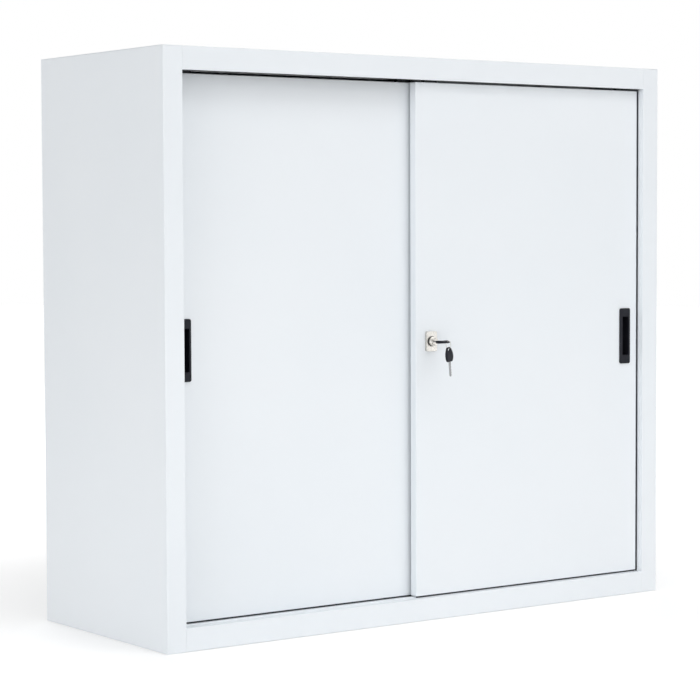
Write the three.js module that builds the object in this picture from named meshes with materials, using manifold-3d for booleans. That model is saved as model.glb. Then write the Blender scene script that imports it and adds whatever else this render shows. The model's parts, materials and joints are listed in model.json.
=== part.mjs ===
// A steel office cabinet with two sliding doors, built as it comes apart: folded sheet-steel carcass,
// two door pans that pass each other on low sill rails, flush pulls, and a cylinder lock with its keys.
// Millimetres, +Z up, the front faces -Y. The origin is on the floor under the middle of the carcass.
import * as THREE from "three";
import { mergeVertices } from "three/addons/utils/BufferGeometryUtils.js";
import Module from "manifold-3d";

const wasm = await Module();
wasm.setup();

// Carcass
const width = 1200;
const height = 1090;
const depth = 450;
const sheet = 1;
const seam = 0.3;
const stileWidth = 40.7;
const topRailHeight = 42.7;
const topRailReturn = 8;
const topRailHem = 11;
const sillHeight = 43;
const sillReturn = 20;
const stileHem = 12;
const rearFold = 15;
const rearFlange = 20;
const backFlange = 12;
const baseChannelWidth = 60;
const baseChannelFlange = 15;

// Doors
const doorRecess = 15;
const doorThickness = 18;
const doorGap = 6;
const sideClearance = 3.3;
const bottomClearance = 3;
const topClearance = 3.3;
const middleOverlap = 24;
const rearDoorTuck = 10.7;
const doorBackLip = 12;
const stiffenerWidth = 46;
const stiffenerFlange = 12;
const stiffenerMargin = 70;

// Top track, guides and end stops
const trackLipRise = 1.7;
const trackDepth = 13;
const trackFlange = 14;
const stripWall = 1.5;
const stripBase = 2;
const grooveWidth = 12;
const guideClearance = 0.5;
const guideTopClearance = 2;
const guideLength = 30;
const guideInset = 25;
const guideFoot = 2;
const guideFootOverhang = 0.75;
const stopBridge = 2.6;

// Sill rails and rollers
const railWidth = 3;
const railHeight = 2;
const rollerGrooveRadius = 9;
const flangeClearance = 0.9;
const rollerWidth = 8;
const rollerBore = 2.3;
const axleRadius = 2;
const axleHeadRadius = 3.4;
const axleHead = 1;
const rollerInset = 60;
const bracketWall = 1.2;
const bracketHalfLength = 16;
const bracketTopGap = 3;
const runningGap = 0.6;

// Shelf uprights, clips and shelves
const uprightDepth = 20;
const uprightWidth = 30;
const uprightWall = 1.2;
const frontUprightInset = 95;
const rearUprightInset = 25;
const slotPitch = 50;
const slotWidth = 4;
const slotHeight = 14;
const firstSlot = 50;
const shelfFold = 25;
const shelfHem = 12;
const shelfEndClearance = 3;
const shelfFrontInset = 80;
const shelfBackInset = 8;
const shelfHeightShares = [1 / 3, 2 / 3];
const clipWall = 1.5;
const clipWidth = 14;
const clipHeight = 20;
const clipTongue = 15;
const clipHook = 6;

// Flush pulls
const frontPullHeight = 537.5;
const rearPullHeight = 543;
const pullPlateWidth = 28.2;
const pullPlateHeight = 114.4;
const pullPlateThickness = 2;
const pullPlateCorner = 4;
const pullCavityWidth = 17;
const pullCavityHeight = 80;
const pullCavityCorner = 3;
const pullCavityShift = 1.8;
const pullWall = 1.5;
const frontPullInset = 34.1;
const rearPullInset = 33.8;

// Lock
const lockHeight = 543;
const lockInset = 35.2;
const platePlanWidth = 25.4;
const platePlanHeight = 38.9;
const plateThickness = 5.4;
const plateBevel = 0.8;
const plateCorner = 3;
const barrelHeadRadius = 9.3;
const barrelHead = 8;
const barrelRadius = 8;
const barrelTailGap = 2;
const barrelBore = 6.3;
const nutAcross = 24;
const nutThickness = 4;
const plugRadius = 6;
const plugProud = 0.3;
const tailSize = 6;
const keywayWidth = 6.4;
const keywayThickness = 2.4;
const keywayDepth = 19;
const camThickness = 2;
const camSetback = 1.3;
const camHalfWidth = 8;
const camLength = 24;
const strikeWidth = 10;
const strikeHeight = 14;
const strikeReach = 3.5;
const strikeFoot = 1.2;
const strikeFootHeight = 12;
const strikeClearance = 1;

// Keys and their ring, measured from the ring end of the bow
const bowLength = 28.4;
const eyeThickness = 2;
const eyeHoleRadius = 2.5;
const eyeHoleInset = 4.6;
const eyeLength = 8.5;
const gripThickness = 3;
const gripBevel = 1.2;
const bladeWidth = 5.6;
const bladeThickness = 1.8;
const bladeTang = 7;
const bladeReach = 29;
const biteCount = 4;
const biteDepth = 1.4;
const biteSpan = 3.2;
const bitePitch = 5.2;
const keyClearance = 0.3;
const bladeInserted = 17;
const keyAxisShift = 1.4;
const ringRadius = 7.5;
const ringWire = 0.6;
const ringOutset = 1.275;
const ringLift = 0.9;
const spareLean = THREE.MathUtils.degToRad(6.4);
const spareTurn = THREE.MathUtils.degToRad(18);
// Half-widths of the bow at shares of its length, from the ring end to the blade
const bowLengthShares = [0.0, 0.04, 0.1, 0.19, 0.42, 0.6, 0.82, 0.97, 1.0];
const bowWidthShares = [0.36, 0.55, 0.7, 0.82, 0.95, 1.0, 0.94, 0.8, 0.68];
const bowHalfWidth = 9.75;

// Facets
const roundSides = 32;
const smallSides = 20;
const nutSides = 6;
const wireSides = 6;
const cornerSteps = 4;
const bevelSteps = 2;
const overrun = 2;
const grid = 0.001;

// Places worked out from the sizes above
const front = -depth / 2;
const back = depth / 2;
const side = width / 2;
const openingHalf = side - stileWidth;
const railHalf = openingHalf - seam;
const interiorHalf = side - sheet - seam;
const topUnderside = height - sheet - seam;
const frontDoorFace = front + doorRecess;
const frontDoorBack = frontDoorFace + doorThickness;
const rearDoorFace = frontDoorBack + doorGap;
const rearDoorBack = rearDoorFace + doorThickness;
const stileReturnEnd = frontDoorFace;
const doorWidth = openingHalf - sideClearance + middleOverlap;
const doorBottom = sillHeight + bottomClearance;
const doorTop = height - topRailHeight - topClearance;
const frontDoorLeft = -middleOverlap;
const rearDoorLeft = -openingHalf - rearDoorTuck;
const trackFront = front + topRailReturn + seam;
const trackBack = rearDoorBack + doorGap + sheet;
const trackLip = height - topRailHeight + trackLipRise;
const trackWebUnderside = trackLip + trackDepth - sheet;
const stripTop = trackWebUnderside - seam;
const grooveRoof = stripTop - stripBase;
const rollerZ = sillHeight + railHeight + seam + rollerGrooveRadius;
const rollerFlangeRadius = rollerZ - sillHeight - flangeClearance;
const doorMiddles = [frontDoorFace + doorThickness / 2, rearDoorFace + doorThickness / 2];

const paint = new THREE.MeshStandardMaterial({ color: 0xeef1f4, roughness: 0.42, metalness: 0.05 });
const galvanised = new THREE.MeshStandardMaterial({ color: 0xb9bdc1, roughness: 0.4, metalness: 0.85 });
const nickel = new THREE.MeshStandardMaterial({ color: 0xd9d3c4, roughness: 0.22, metalness: 0.95 });
const steel = new THREE.MeshStandardMaterial({ color: 0xc4c6c8, roughness: 0.3, metalness: 0.9 });
const blackPlastic = new THREE.MeshStandardMaterial({ color: 0x23262c, roughness: 0.5, metalness: 0 });
const blackNylon = new THREE.MeshStandardMaterial({ color: 0x1c1d20, roughness: 0.45, metalness: 0 });

const onGrid = (value) => Math.round(value / grid) * grid;

// A closed three.js geometry as a solid that can be joined and cut, its corners set on a fine grid
// so that faces meant to lie in one plane do
function solid(geometry) {
  const bare = geometry.clone();
  bare.deleteAttribute("normal");
  bare.deleteAttribute("uv");
  const places = bare.attributes.position.array;
  for (let i = 0; i < places.length; i += 1) places[i] = onGrid(places[i]);
  const merged = mergeVertices(bare, grid / 2);
  return new wasm.Manifold(
    new wasm.Mesh({
      numProp: 3,
      vertProperties: new Float32Array(merged.attributes.position.array),
      triVerts: new Uint32Array(merged.index.array),
    }),
  );
}

// A joined or cut solid as a three.js geometry
function geometryOf(made) {
  const mesh = made.getMesh();
  const geometry = new THREE.BufferGeometry();
  geometry.setAttribute("position", new THREE.BufferAttribute(mesh.vertProperties, mesh.numProp));
  geometry.setIndex(new THREE.BufferAttribute(mesh.triVerts, 1));
  const flat = geometry.toNonIndexed();
  flat.computeVertexNormals();
  return flat;
}

// A block between two corners, given in any order
const block = (x0, x1, y0, y1, z0, z1) =>
  new THREE.Box3().setFromPoints([new THREE.Vector3(x0, y0, z0), new THREE.Vector3(x1, y1, z1)]);

// Folded sheet: blocks joined along the planes of all their faces, with a wall drawn wherever a filled
// cell meets an empty one, so the joint leaves no seam and no sliver
function folded(blocks) {
  const planes = ["x", "y", "z"].map((axis) => {
    const places = blocks.flatMap((each) => [each.min[axis], each.max[axis]]).map(onGrid);
    return [...new Set(places)].sort((a, b) => a - b);
  });
  const counts = planes.map((list) => list.length - 1);
  const filled = (cell) => {
    if (cell.some((at, axis) => at < 0 || at >= counts[axis])) return false;
    const middle = cell.map((at, axis) => (planes[axis][at] + planes[axis][at + 1]) / 2);
    return blocks.some((each) => each.containsPoint(new THREE.Vector3(...middle)));
  };
  const corners = [];
  const wall = (cell, axis, direction) => {
    const [u, v] = direction > 0 ? [(axis + 1) % 3, (axis + 2) % 3] : [(axis + 2) % 3, (axis + 1) % 3];
    const loop = [[0, 0], [1, 0], [1, 1], [0, 1]].map(([alongU, alongV]) => {
      const corner = [...cell];
      corner[axis] += direction > 0 ? 1 : 0;
      corner[u] += alongU;
      corner[v] += alongV;
      return corner.map((at, index) => planes[index][at]);
    });
    for (const index of [0, 1, 2, 0, 2, 3]) corners.push(...loop[index]);
  };
  for (let i = 0; i < counts[0]; i += 1) {
    for (let j = 0; j < counts[1]; j += 1) {
      for (let k = 0; k < counts[2]; k += 1) {
        const cell = [i, j, k];
        if (!filled(cell)) continue;
        for (let axis = 0; axis < 3; axis += 1) {
          for (const direction of [-1, 1]) {
            const neighbour = [...cell];
            neighbour[axis] += direction;
            if (!filled(neighbour)) wall(cell, axis, direction);
          }
        }
      }
    }
  }
  const geometry = new THREE.BufferGeometry();
  geometry.setAttribute("position", new THREE.Float32BufferAttribute(corners, 3));
  return solid(geometry);
}

const joined = (pieces) => pieces.reduce((whole, piece) => whole.add(piece));
const cut = (whole, pieces) => pieces.reduce((rest, piece) => rest.subtract(piece), whole);

// A round bar along Y between two depths
function barY(radius, x, z, y0, y1, sides = roundSides) {
  const geometry = new THREE.CylinderGeometry(radius, radius, y1 - y0, sides);
  geometry.translate(x, (y0 + y1) / 2, z);
  return solid(geometry);
}

// A piece turned about an axis along Y, from a closed profile of radius and depth
function turnedY(profile, x, z, sides = roundSides) {
  const points = profile.map(([radius, y]) => new THREE.Vector2(radius, y));
  const geometry = new THREE.LatheGeometry(points, sides);
  geometry.translate(x, 0, z);
  return solid(geometry);
}

// An outline drawn in X and Z, seen from the front, given a thickness from y0 back to y1
function plateXZ(outline, y0, y1, bevel = 0) {
  const geometry = new THREE.ExtrudeGeometry(outline, {
    depth: y1 - y0 - 2 * bevel,
    bevelEnabled: bevel > 0,
    bevelThickness: bevel,
    bevelSize: bevel,
    bevelOffset: -bevel,
    bevelSegments: bevelSteps,
    curveSegments: cornerSteps,
  });
  geometry.rotateX(Math.PI / 2);
  geometry.translate(0, y1 - bevel, 0);
  return solid(geometry);
}

function roundedRectangle(centreX, centreZ, wide, high, corner) {
  const x = centreX - wide / 2;
  const z = centreZ - high / 2;
  const outline = new THREE.Shape();
  outline.moveTo(x + corner, z);
  outline.lineTo(x + wide - corner, z);
  outline.absarc(x + wide - corner, z + corner, corner, -Math.PI / 2, 0);
  outline.lineTo(x + wide, z + high - corner);
  outline.absarc(x + wide - corner, z + high - corner, corner, 0, Math.PI / 2);
  outline.lineTo(x + corner, z + high);
  outline.absarc(x + corner, z + high - corner, corner, Math.PI / 2, Math.PI);
  outline.lineTo(x, z + corner);
  outline.absarc(x + corner, z + corner, corner, Math.PI, Math.PI * 1.5);
  return outline;
}

const cabinet = new THREE.Group();

function add(name, made, material, group = cabinet) {
  const mesh = new THREE.Mesh(geometryOf(made), material);
  mesh.name = name;
  group.add(mesh);
  return mesh;
}

// Side panels: skin, front stile with its return and hem, which end level with the front door's face,
// and a fold at the rear
function sidePanel(hand) {
  const wall = (outer, inner, y0, y1) => block(hand * outer, hand * inner, y0, y1, 0, topUnderside);
  return folded([
    wall(side, side - sheet, front, back),
    wall(side, openingHalf, front, front + sheet),
    wall(openingHalf + sheet, openingHalf, front, stileReturnEnd),
    wall(openingHalf + stileHem, openingHalf, stileReturnEnd - sheet, stileReturnEnd),
    wall(side, side - rearFold, back - sheet, back),
  ]);
}

// Top panel: sheet over everything, front rail between the stiles with its return and hem, rear flange
function topPanel() {
  const railBottom = height - topRailHeight;
  const hemFront = front + topRailReturn - sheet;
  const rearHalf = side - rearFold - seam;
  const top = height - sheet;
  return folded([
    block(-side, side, front, back, top, height),
    block(-railHalf, railHalf, front, front + sheet, railBottom, height),
    block(-railHalf, railHalf, front, front + topRailReturn, railBottom, railBottom + sheet),
    block(-railHalf, railHalf, hemFront, hemFront + sheet, railBottom, railBottom + topRailHem),
    block(-rearHalf, rearHalf, back - sheet, back, top - rearFlange, height),
  ]);
}

// Bottom panel: raised deck, front sill between the stiles, rear wall, and returns that stand on the floor
function bottomPanel() {
  const deckFront = stileReturnEnd + seam;
  const deckBack = back - sheet - seam;
  const rearHalf = side - rearFold - seam;
  const deckUnder = sillHeight - sheet;
  return folded([
    block(-railHalf, railHalf, front, deckFront + sheet, deckUnder, sillHeight),
    block(-interiorHalf, interiorHalf, deckFront, deckBack, deckUnder, sillHeight),
    block(-railHalf, railHalf, front, front + sheet, 0, sillHeight),
    block(-railHalf, railHalf, front, front + sillReturn, 0, sheet),
    block(-rearHalf, rearHalf, deckBack - sheet, back, deckUnder, sillHeight),
    block(-rearHalf, rearHalf, back - sheet, back, 0, sillHeight),
    block(-rearHalf, rearHalf, back - sillReturn, back, 0, sheet),
    block(-interiorHalf, sheet - interiorHalf, deckFront, deckBack, 0, sillHeight),
    block(interiorHalf - sheet, interiorHalf, deckFront, deckBack, 0, sillHeight),
  ]);
}

// A channel under the middle of the deck, which stands on the floor and carries the long span
function baseChannel() {
  const half = baseChannelWidth / 2;
  const flangeHalf = half + baseChannelFlange;
  const reach = back - sillReturn - seam;
  const top = sillHeight - sheet - seam;
  return folded([
    block(-half, half, -reach, reach, 0, sheet),
    block(-half, sheet - half, -reach, reach, 0, top),
    block(half - sheet, half, -reach, reach, 0, top),
    block(-flangeHalf, sheet - half, -reach, reach, top - sheet, top),
    block(half - sheet, flangeHalf, -reach, reach, top - sheet, top),
  ]);
}

// Back panel: one sheet inside the rear folds, with a flange folded forward at each end
function backPanel() {
  const rear = back - sheet - seam;
  const bottom = sillHeight + seam;
  return folded([
    block(-interiorHalf, interiorHalf, rear - sheet, rear, bottom, topUnderside),
    block(-interiorHalf, sheet - interiorHalf, rear - backFlange, rear, bottom, topUnderside),
    block(interiorHalf - sheet, interiorHalf, rear - backFlange, rear, bottom, topUnderside),
  ]);
}

// Top track: a folded channel hung from the top panel behind the front rail
function topTrack() {
  const webTop = trackWebUnderside + sheet;
  const flangeBack = trackBack + trackFlange;
  return folded([
    block(-railHalf, railHalf, trackFront, trackFront + sheet, trackLip, webTop),
    block(-railHalf, railHalf, trackFront, trackBack, trackWebUnderside, webTop),
    block(-railHalf, railHalf, trackBack - sheet, trackBack, trackLip, topUnderside),
    block(-railHalf, railHalf, trackBack - sheet, flangeBack, topUnderside - sheet, topUnderside),
  ]);
}

// The plastic strip inside the track, with one groove over each door
function guideStrip() {
  const from = trackFront + sheet + seam;
  const to = trackBack - sheet - seam;
  const pieces = [block(-railHalf, railHalf, from, to, grooveRoof, stripTop)];
  for (const middle of doorMiddles) {
    for (const hand of [-1, 1]) {
      const inner = middle + (hand * grooveWidth) / 2;
      const outer = inner + hand * stripWall;
      const lip = trackLip + sheet;
      pieces.push(block(-railHalf, railHalf, Math.min(inner, outer), Math.max(inner, outer), lip, stripTop));
    }
  }
  return folded(pieces);
}

// An end stop: a lug in each groove, where the door's guide arrives, and a bridge under the strip
function trackStop(hand) {
  const lugHalf = grooveWidth / 2 - seam;
  const bridgeTop = trackLip + sheet - seam;
  const bridgeBottom = bridgeTop - stopBridge;
  const frontEnd = openingHalf - sideClearance - guideInset + seam;
  const rearEnd = openingHalf + rearDoorTuck - guideInset + seam;
  const inner = Math.max(frontEnd, rearEnd);
  const [near, far] = doorMiddles;
  const lug = (end, middle) =>
    block(hand * end, hand * railHalf, middle - lugHalf, middle + lugHalf, bridgeBottom, grooveRoof - seam);
  return folded([
    lug(frontEnd, near),
    lug(rearEnd, far),
    block(hand * inner, hand * railHalf, near - lugHalf, far + lugHalf, bridgeBottom, bridgeTop),
  ]);
}

// A flat rail welded on the deck under the middle of each door, and painted with it
function sillRail(middle) {
  const half = railWidth / 2;
  return folded([block(-railHalf, railHalf, middle - half, middle + half, sillHeight, sillHeight + railHeight)]);
}

// A slotted shelf upright, open towards the side panel
const slotCount = Math.floor((topUnderside - sillHeight - 2 * firstSlot) / slotPitch) + 1;
const slotZ = (index) => sillHeight + firstSlot + index * slotPitch;
const uprightInner = interiorHalf - uprightDepth;

function upright(hand, y0) {
  const y1 = y0 + uprightWidth;
  const z0 = sillHeight + seam;
  const wall = (outer, ya, yb) => block(hand * outer, hand * uprightInner, ya, yb, z0, topUnderside);
  const profile = folded([
    wall(uprightInner + uprightWall, y0, y1),
    wall(interiorHalf, y0, y0 + uprightWall),
    wall(interiorHalf, y1 - uprightWall, y1),
  ]);
  const middle = (y0 + y1) / 2;
  const half = slotWidth / 2;
  const slots = [];
  for (let index = 0; index < slotCount; index += 1) {
    const z = slotZ(index);
    const reach = hand * (uprightInner + uprightWall + overrun);
    const near = hand * (uprightInner - overrun);
    slots.push(folded([block(reach, near, middle - half, middle + half, z, z + slotHeight)]));
  }
  return cut(profile, slots);
}

// A clip hooked in an upright's slot, with a tongue that carries the shelf's end
function shelfClip(hand, y0, z) {
  const middle = y0 + uprightWidth / 2;
  const leaf = (outer, inner, half, z0, z1) =>
    block(hand * outer, hand * inner, middle - half, middle + half, z0, z1);
  const face = uprightInner - seam;
  const plate = face - clipWall;
  const behind = uprightInner + uprightWall + seam;
  const hookHalf = slotWidth / 2 - seam;
  const hookTop = z + (slotHeight + clipHook) / 2;
  return folded([
    leaf(face, plate, clipWidth / 2, z - clipWall, z + clipHeight),
    leaf(face, plate - clipTongue, clipWidth / 2, z - clipWall, z),
    leaf(behind + clipWall, plate, hookHalf, hookTop - clipHook, hookTop),
    leaf(behind + clipWall, behind, hookHalf, z - clipHook, hookTop),
  ]);
}

// A shelf: a sheet with its four edges folded down, and a hem turned in under the front and back edges
const shelfHalf = uprightInner - shelfEndClearance;

function shelf(z) {
  const y0 = front + shelfFrontInset;
  const y1 = back - shelfBackInset;
  const bottom = z + seam;
  const top = bottom + shelfFold;
  return folded([
    block(-shelfHalf, shelfHalf, y0, y1, top - sheet, top),
    block(-shelfHalf, shelfHalf, y0, y0 + sheet, bottom, top),
    block(-shelfHalf, shelfHalf, y1 - sheet, y1, bottom, top),
    block(-shelfHalf, sheet - shelfHalf, y0, y1, bottom, top),
    block(shelfHalf - sheet, shelfHalf, y0, y1, bottom, top),
    block(-shelfHalf, shelfHalf, y0, y0 + shelfHem, bottom, bottom + sheet),
    block(-shelfHalf, shelfHalf, y1 - shelfHem, y1, bottom, bottom + sheet),
  ]);
}

// Door pan: skin, four folded edges and lips turned in at the back, cut for the pull, lock and rollers
function doorPan(left, face, cuts) {
  const right = left + doorWidth;
  const rear = face + doorThickness;
  const pan = folded([
    block(left, right, face, face + sheet, doorBottom, doorTop),
    block(left, left + sheet, face, rear, doorBottom, doorTop),
    block(right - sheet, right, face, rear, doorBottom, doorTop),
    block(left, right, face, rear, doorBottom, doorBottom + sheet),
    block(left, right, face, rear, doorTop - sheet, doorTop),
    block(left, left + doorBackLip, rear - sheet, rear, doorBottom, doorTop),
    block(right - doorBackLip, right, rear - sheet, rear, doorBottom, doorTop),
  ]);
  return cut(pan, cuts);
}

// A hat-section stiffener glued inside the skin, off the lock and pull
function doorStiffener(left, face) {
  const middle = left + doorWidth / 2;
  const half = stiffenerWidth / 2;
  const flangeHalf = half + stiffenerFlange;
  const near = face + sheet + seam;
  const far = face + doorThickness - sheet - seam;
  const z0 = doorBottom + stiffenerMargin;
  const z1 = doorTop - stiffenerMargin;
  return folded([
    block(middle - half, middle + half, far - sheet, far, z0, z1),
    block(middle - half, middle - half + sheet, near, far, z0, z1),
    block(middle + half - sheet, middle + half, near, far, z0, z1),
    block(middle - flangeHalf, middle - half + sheet, near, near + sheet, z0, z1),
    block(middle + half - sheet, middle + flangeHalf, near, near + sheet, z0, z1),
  ]);
}

// A guide block on the door's top edge, running in the strip's groove
function topGuide(x, middle) {
  const half = grooveWidth / 2 - guideClearance;
  const foot = Math.min(doorThickness / 2, half + guideFootOverhang);
  const x0 = x - guideLength / 2;
  const x1 = x + guideLength / 2;
  const z0 = doorTop + seam;
  return folded([
    block(x0, x1, middle - half, middle + half, z0, grooveRoof - guideTopClearance),
    block(x0, x1, middle - foot, middle + foot, z0, z0 + guideFoot),
  ]);
}

// Roller, turned as one piece with a groove for the sill rail
function roller(x, middle) {
  const half = rollerWidth / 2;
  const groove = railWidth / 2 + runningGap;
  const profile = [
    [rollerBore, -half],
    [rollerFlangeRadius, -half],
    [rollerFlangeRadius, -groove - seam],
    [rollerGrooveRadius, -groove],
    [rollerGrooveRadius, groove],
    [rollerFlangeRadius, groove + seam],
    [rollerFlangeRadius, half],
    [rollerBore, half],
    [rollerBore, -half],
  ];
  return turnedY(profile.map(([radius, along]) => [radius, middle + along]), x, rollerZ);
}

// A bracket bent over the roller, inside the door's bottom edge
const bracketInner = rollerWidth / 2 + runningGap;
const bracketOuter = bracketInner + bracketWall;
const bracketTop = rollerZ + rollerFlangeRadius + bracketTopGap;

function rollerBracket(x, middle) {
  const x0 = x - bracketHalfLength;
  const x1 = x + bracketHalfLength;
  const z0 = doorBottom + sheet + seam;
  const made = folded([
    block(x0, x1, middle - bracketOuter, middle - bracketInner, z0, bracketTop),
    block(x0, x1, middle + bracketInner, middle + bracketOuter, z0, bracketTop),
    block(x0, x1, middle - bracketOuter, middle + bracketOuter, bracketTop - bracketWall, bracketTop),
  ]);
  const reach = bracketOuter + overrun;
  return cut(made, [barY(axleRadius + seam, x, rollerZ, middle - reach, middle + reach, smallSides)]);
}

// An axle with a head outside each wall of its bracket
function rollerAxle(x, middle) {
  const end = bracketOuter + seam;
  const profile = [
    [0, -end - axleHead],
    [axleHeadRadius, -end - axleHead],
    [axleHeadRadius, -end],
    [axleRadius, -end],
    [axleRadius, end],
    [axleHeadRadius, end],
    [axleHeadRadius, end + axleHead],
    [0, end + axleHead],
  ];
  return turnedY(profile.map(([radius, along]) => [radius, middle + along]), x, rollerZ, smallSides);
}

// The slot in the door's bottom edge that a roller reaches through
function rollerSlot(x, middle) {
  const half = rollerFlangeRadius + runningGap;
  const z0 = doorBottom - overrun;
  const z1 = doorBottom + sheet + overrun;
  return folded([block(x - half, x + half, middle - bracketInner, middle + bracketInner, z0, z1)]);
}

// Flush pull: a plate on the skin and a cup let into the door, its mouth nearer one edge
const pullCupWidth = pullCavityWidth + 2 * pullWall;
const pullCupHeight = pullCavityHeight + 2 * pullWall;

function pull(x, z, face) {
  const plateBack = face - seam;
  const plateFront = plateBack - pullPlateThickness;
  const floor = face + doorThickness - sheet - seam;
  const mouth = x + pullCavityShift;
  const plate = roundedRectangle(x, z, pullPlateWidth, pullPlateHeight, pullPlateCorner);
  const cup = roundedRectangle(mouth, z, pullCupWidth, pullCupHeight, pullCavityCorner + pullWall);
  const hollow = roundedRectangle(mouth, z, pullCavityWidth, pullCavityHeight, pullCavityCorner);
  const cupFront = plateBack - pullPlateThickness / 2;
  const body = joined([plateXZ(plate, plateFront, plateBack), plateXZ(cup, cupFront, floor)]);
  return cut(body, [plateXZ(hollow, plateFront - overrun, floor - pullWall)]);
}

function pullCutOut(x, z, face) {
  const wide = pullCupWidth + 2 * seam;
  const high = pullCupHeight + 2 * seam;
  const outline = roundedRectangle(x + pullCavityShift, z, wide, high, pullCavityCorner + pullWall);
  return plateXZ(outline, face - overrun, face + sheet + overrun);
}

// Places along the lock, from the door's face outwards and back through the pan
const lockX = frontDoorLeft + lockInset;
const plateBack = frontDoorFace - seam;
const plateFront = plateBack - plateThickness;
const headBack = plateFront - seam;
const headFront = headBack - barrelHead;
const barrelEnd = frontDoorBack - barrelTailGap;
const plugFront = headFront - plugProud;
const camFront = frontDoorBack + camSetback;
const camBack = camFront + camThickness;

// The plate under the lock's head, bevelled at its edges
function escutcheon() {
  const outline = roundedRectangle(lockX, lockHeight, platePlanWidth, platePlanHeight, plateCorner);
  const hole = barY(barrelRadius + seam, lockX, lockHeight, plateFront - overrun, plateBack + overrun);
  return cut(plateXZ(outline, plateFront, plateBack, plateBevel), [hole]);
}

// The barrel: a round head on the plate and a hollow body through the door's skin
function lockBarrel() {
  const profile = [
    [barrelBore, headFront],
    [barrelHeadRadius, headFront],
    [barrelHeadRadius, headBack],
    [barrelRadius, headBack],
    [barrelRadius, barrelEnd],
    [barrelBore, barrelEnd],
    [barrelBore, headFront],
  ];
  return turnedY(profile, lockX, lockHeight);
}

// The nut that clamps the barrel to the skin from inside the pan
function lockNut() {
  const y0 = frontDoorFace + sheet + seam;
  const y1 = y0 + nutThickness;
  const cornerRadius = nutAcross / 2 / Math.cos(Math.PI / nutSides);
  const hexagon = barY(cornerRadius, lockX, lockHeight, y0, y1, nutSides);
  return cut(hexagon, [barY(barrelRadius + seam, lockX, lockHeight, y0 - overrun, y1 + overrun)]);
}

// A block centred on the lock's axis, of a width and height, between two depths
const lockBlock = (wide, high, y0, y1) =>
  block(lockX - wide / 2, lockX + wide / 2, y0, y1, lockHeight - high / 2, lockHeight + high / 2);

// The plug that the key turns, with its keyway and a square tail for the cam
function lockPlug() {
  const tail = lockBlock(tailSize, tailSize, barrelEnd - overrun, camBack);
  const keyway = lockBlock(keywayWidth, keywayThickness, plugFront - overrun, plugFront + keywayDepth);
  const core = joined([barY(plugRadius, lockX, lockHeight, plugFront, barrelEnd), folded([tail])]);
  return cut(core, [folded([keyway])]);
}

// The cam points away from the meeting edge when unlocked and turns down past the strike to lock
function lockCam() {
  const outline = new THREE.Shape();
  outline.moveTo(lockX + camLength, lockHeight + camHalfWidth);
  outline.lineTo(lockX, lockHeight + camHalfWidth);
  outline.absarc(lockX, lockHeight, camHalfWidth, Math.PI / 2, Math.PI * 1.5);
  outline.lineTo(lockX + camLength, lockHeight - camHalfWidth);
  const hole = tailSize + 2 * seam;
  const bore = lockBlock(hole, hole, camFront - overrun, camBack + overrun);
  return cut(plateXZ(outline, camFront, camBack), [folded([bore])]);
}

// The strike on the rear door's face, which the lowered cam meets before the doors can part
function lockStrike() {
  const right = lockX - camHalfWidth - strikeClearance;
  const left = right - strikeWidth;
  const top = lockHeight - camHalfWidth - strikeClearance - strikeHeight / 2;
  const bottom = top - strikeHeight;
  const footBack = rearDoorFace - seam;
  const reachFront = rearDoorFace - strikeReach;
  const footTop = top + strikeFootHeight;
  const footBottom = bottom - strikeFootHeight;
  return folded([
    block(left, right, reachFront, footBack, bottom, top),
    block(left, right, footBack - strikeFoot, footBack, footBottom, footTop),
  ]);
}

// Key parts in their own frame: the ring hole at the origin, the blade pointing down -Z, seen face on
const keyTop = eyeHoleInset;
const bowBottom = keyTop - bowLength;

function bowHalfAt(share) {
  const next = Math.max(1, bowLengthShares.findIndex((each) => each >= share));
  const part = (share - bowLengthShares[next - 1]) / (bowLengthShares[next] - bowLengthShares[next - 1]);
  return bowHalfWidth * THREE.MathUtils.lerp(bowWidthShares[next - 1], bowWidthShares[next], part);
}

// The outline between two shares of the bow's length, from the ring end down
function bowOutline(fromShare, toShare) {
  const inner = bowLengthShares.filter((share) => share > fromShare && share < toShare);
  const half = [fromShare, ...inner, toShare].map((share) => [bowHalfAt(share), keyTop - share * bowLength]);
  return [
    ...half.map(([wide, z]) => new THREE.Vector2(keyAxisShift + wide, z)),
    ...half.reverse().map(([wide, z]) => new THREE.Vector2(keyAxisShift - wide, z)),
  ];
}

// The moulded bow: a thick rounded grip and a thin eye for the ring, slotted for the blade's tang
function keyBow() {
  const eyeHalf = eyeThickness / 2;
  const gripHalf = gripThickness / 2 + gripBevel;
  const gripShare = eyeLength / bowLength;
  const grip = plateXZ(new THREE.Shape(bowOutline(gripShare, 1)), -gripHalf, gripHalf, gripBevel);
  const rim = bowOutline(0, gripShare);
  const rootHalf = bladeWidth / 2;
  const rootZ = keyTop - eyeLength - 2 * gripBevel;
  const root = [rootHalf, -rootHalf].map((across) => new THREE.Vector2(keyAxisShift + across, rootZ));
  const eyeShape = new THREE.Shape([...rim.slice(0, rim.length / 2), ...root, ...rim.slice(rim.length / 2)]);
  const eye = plateXZ(eyeShape, -eyeHalf, eyeHalf);
  const x0 = keyAxisShift - bladeWidth / 2 - keyClearance;
  const x1 = keyAxisShift + bladeWidth / 2 + keyClearance;
  const halfThick = bladeThickness / 2 + keyClearance;
  const slotTop = bowBottom + bladeTang + keyClearance;
  const slot = block(x0, x1, -halfThick, halfThick, bowBottom - overrun, slotTop);
  const hole = barY(eyeHoleRadius, 0, 0, -gripHalf - overrun, gripHalf + overrun, smallSides);
  return cut(joined([grip, eye]), [folded([slot]), hole]);
}

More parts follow.
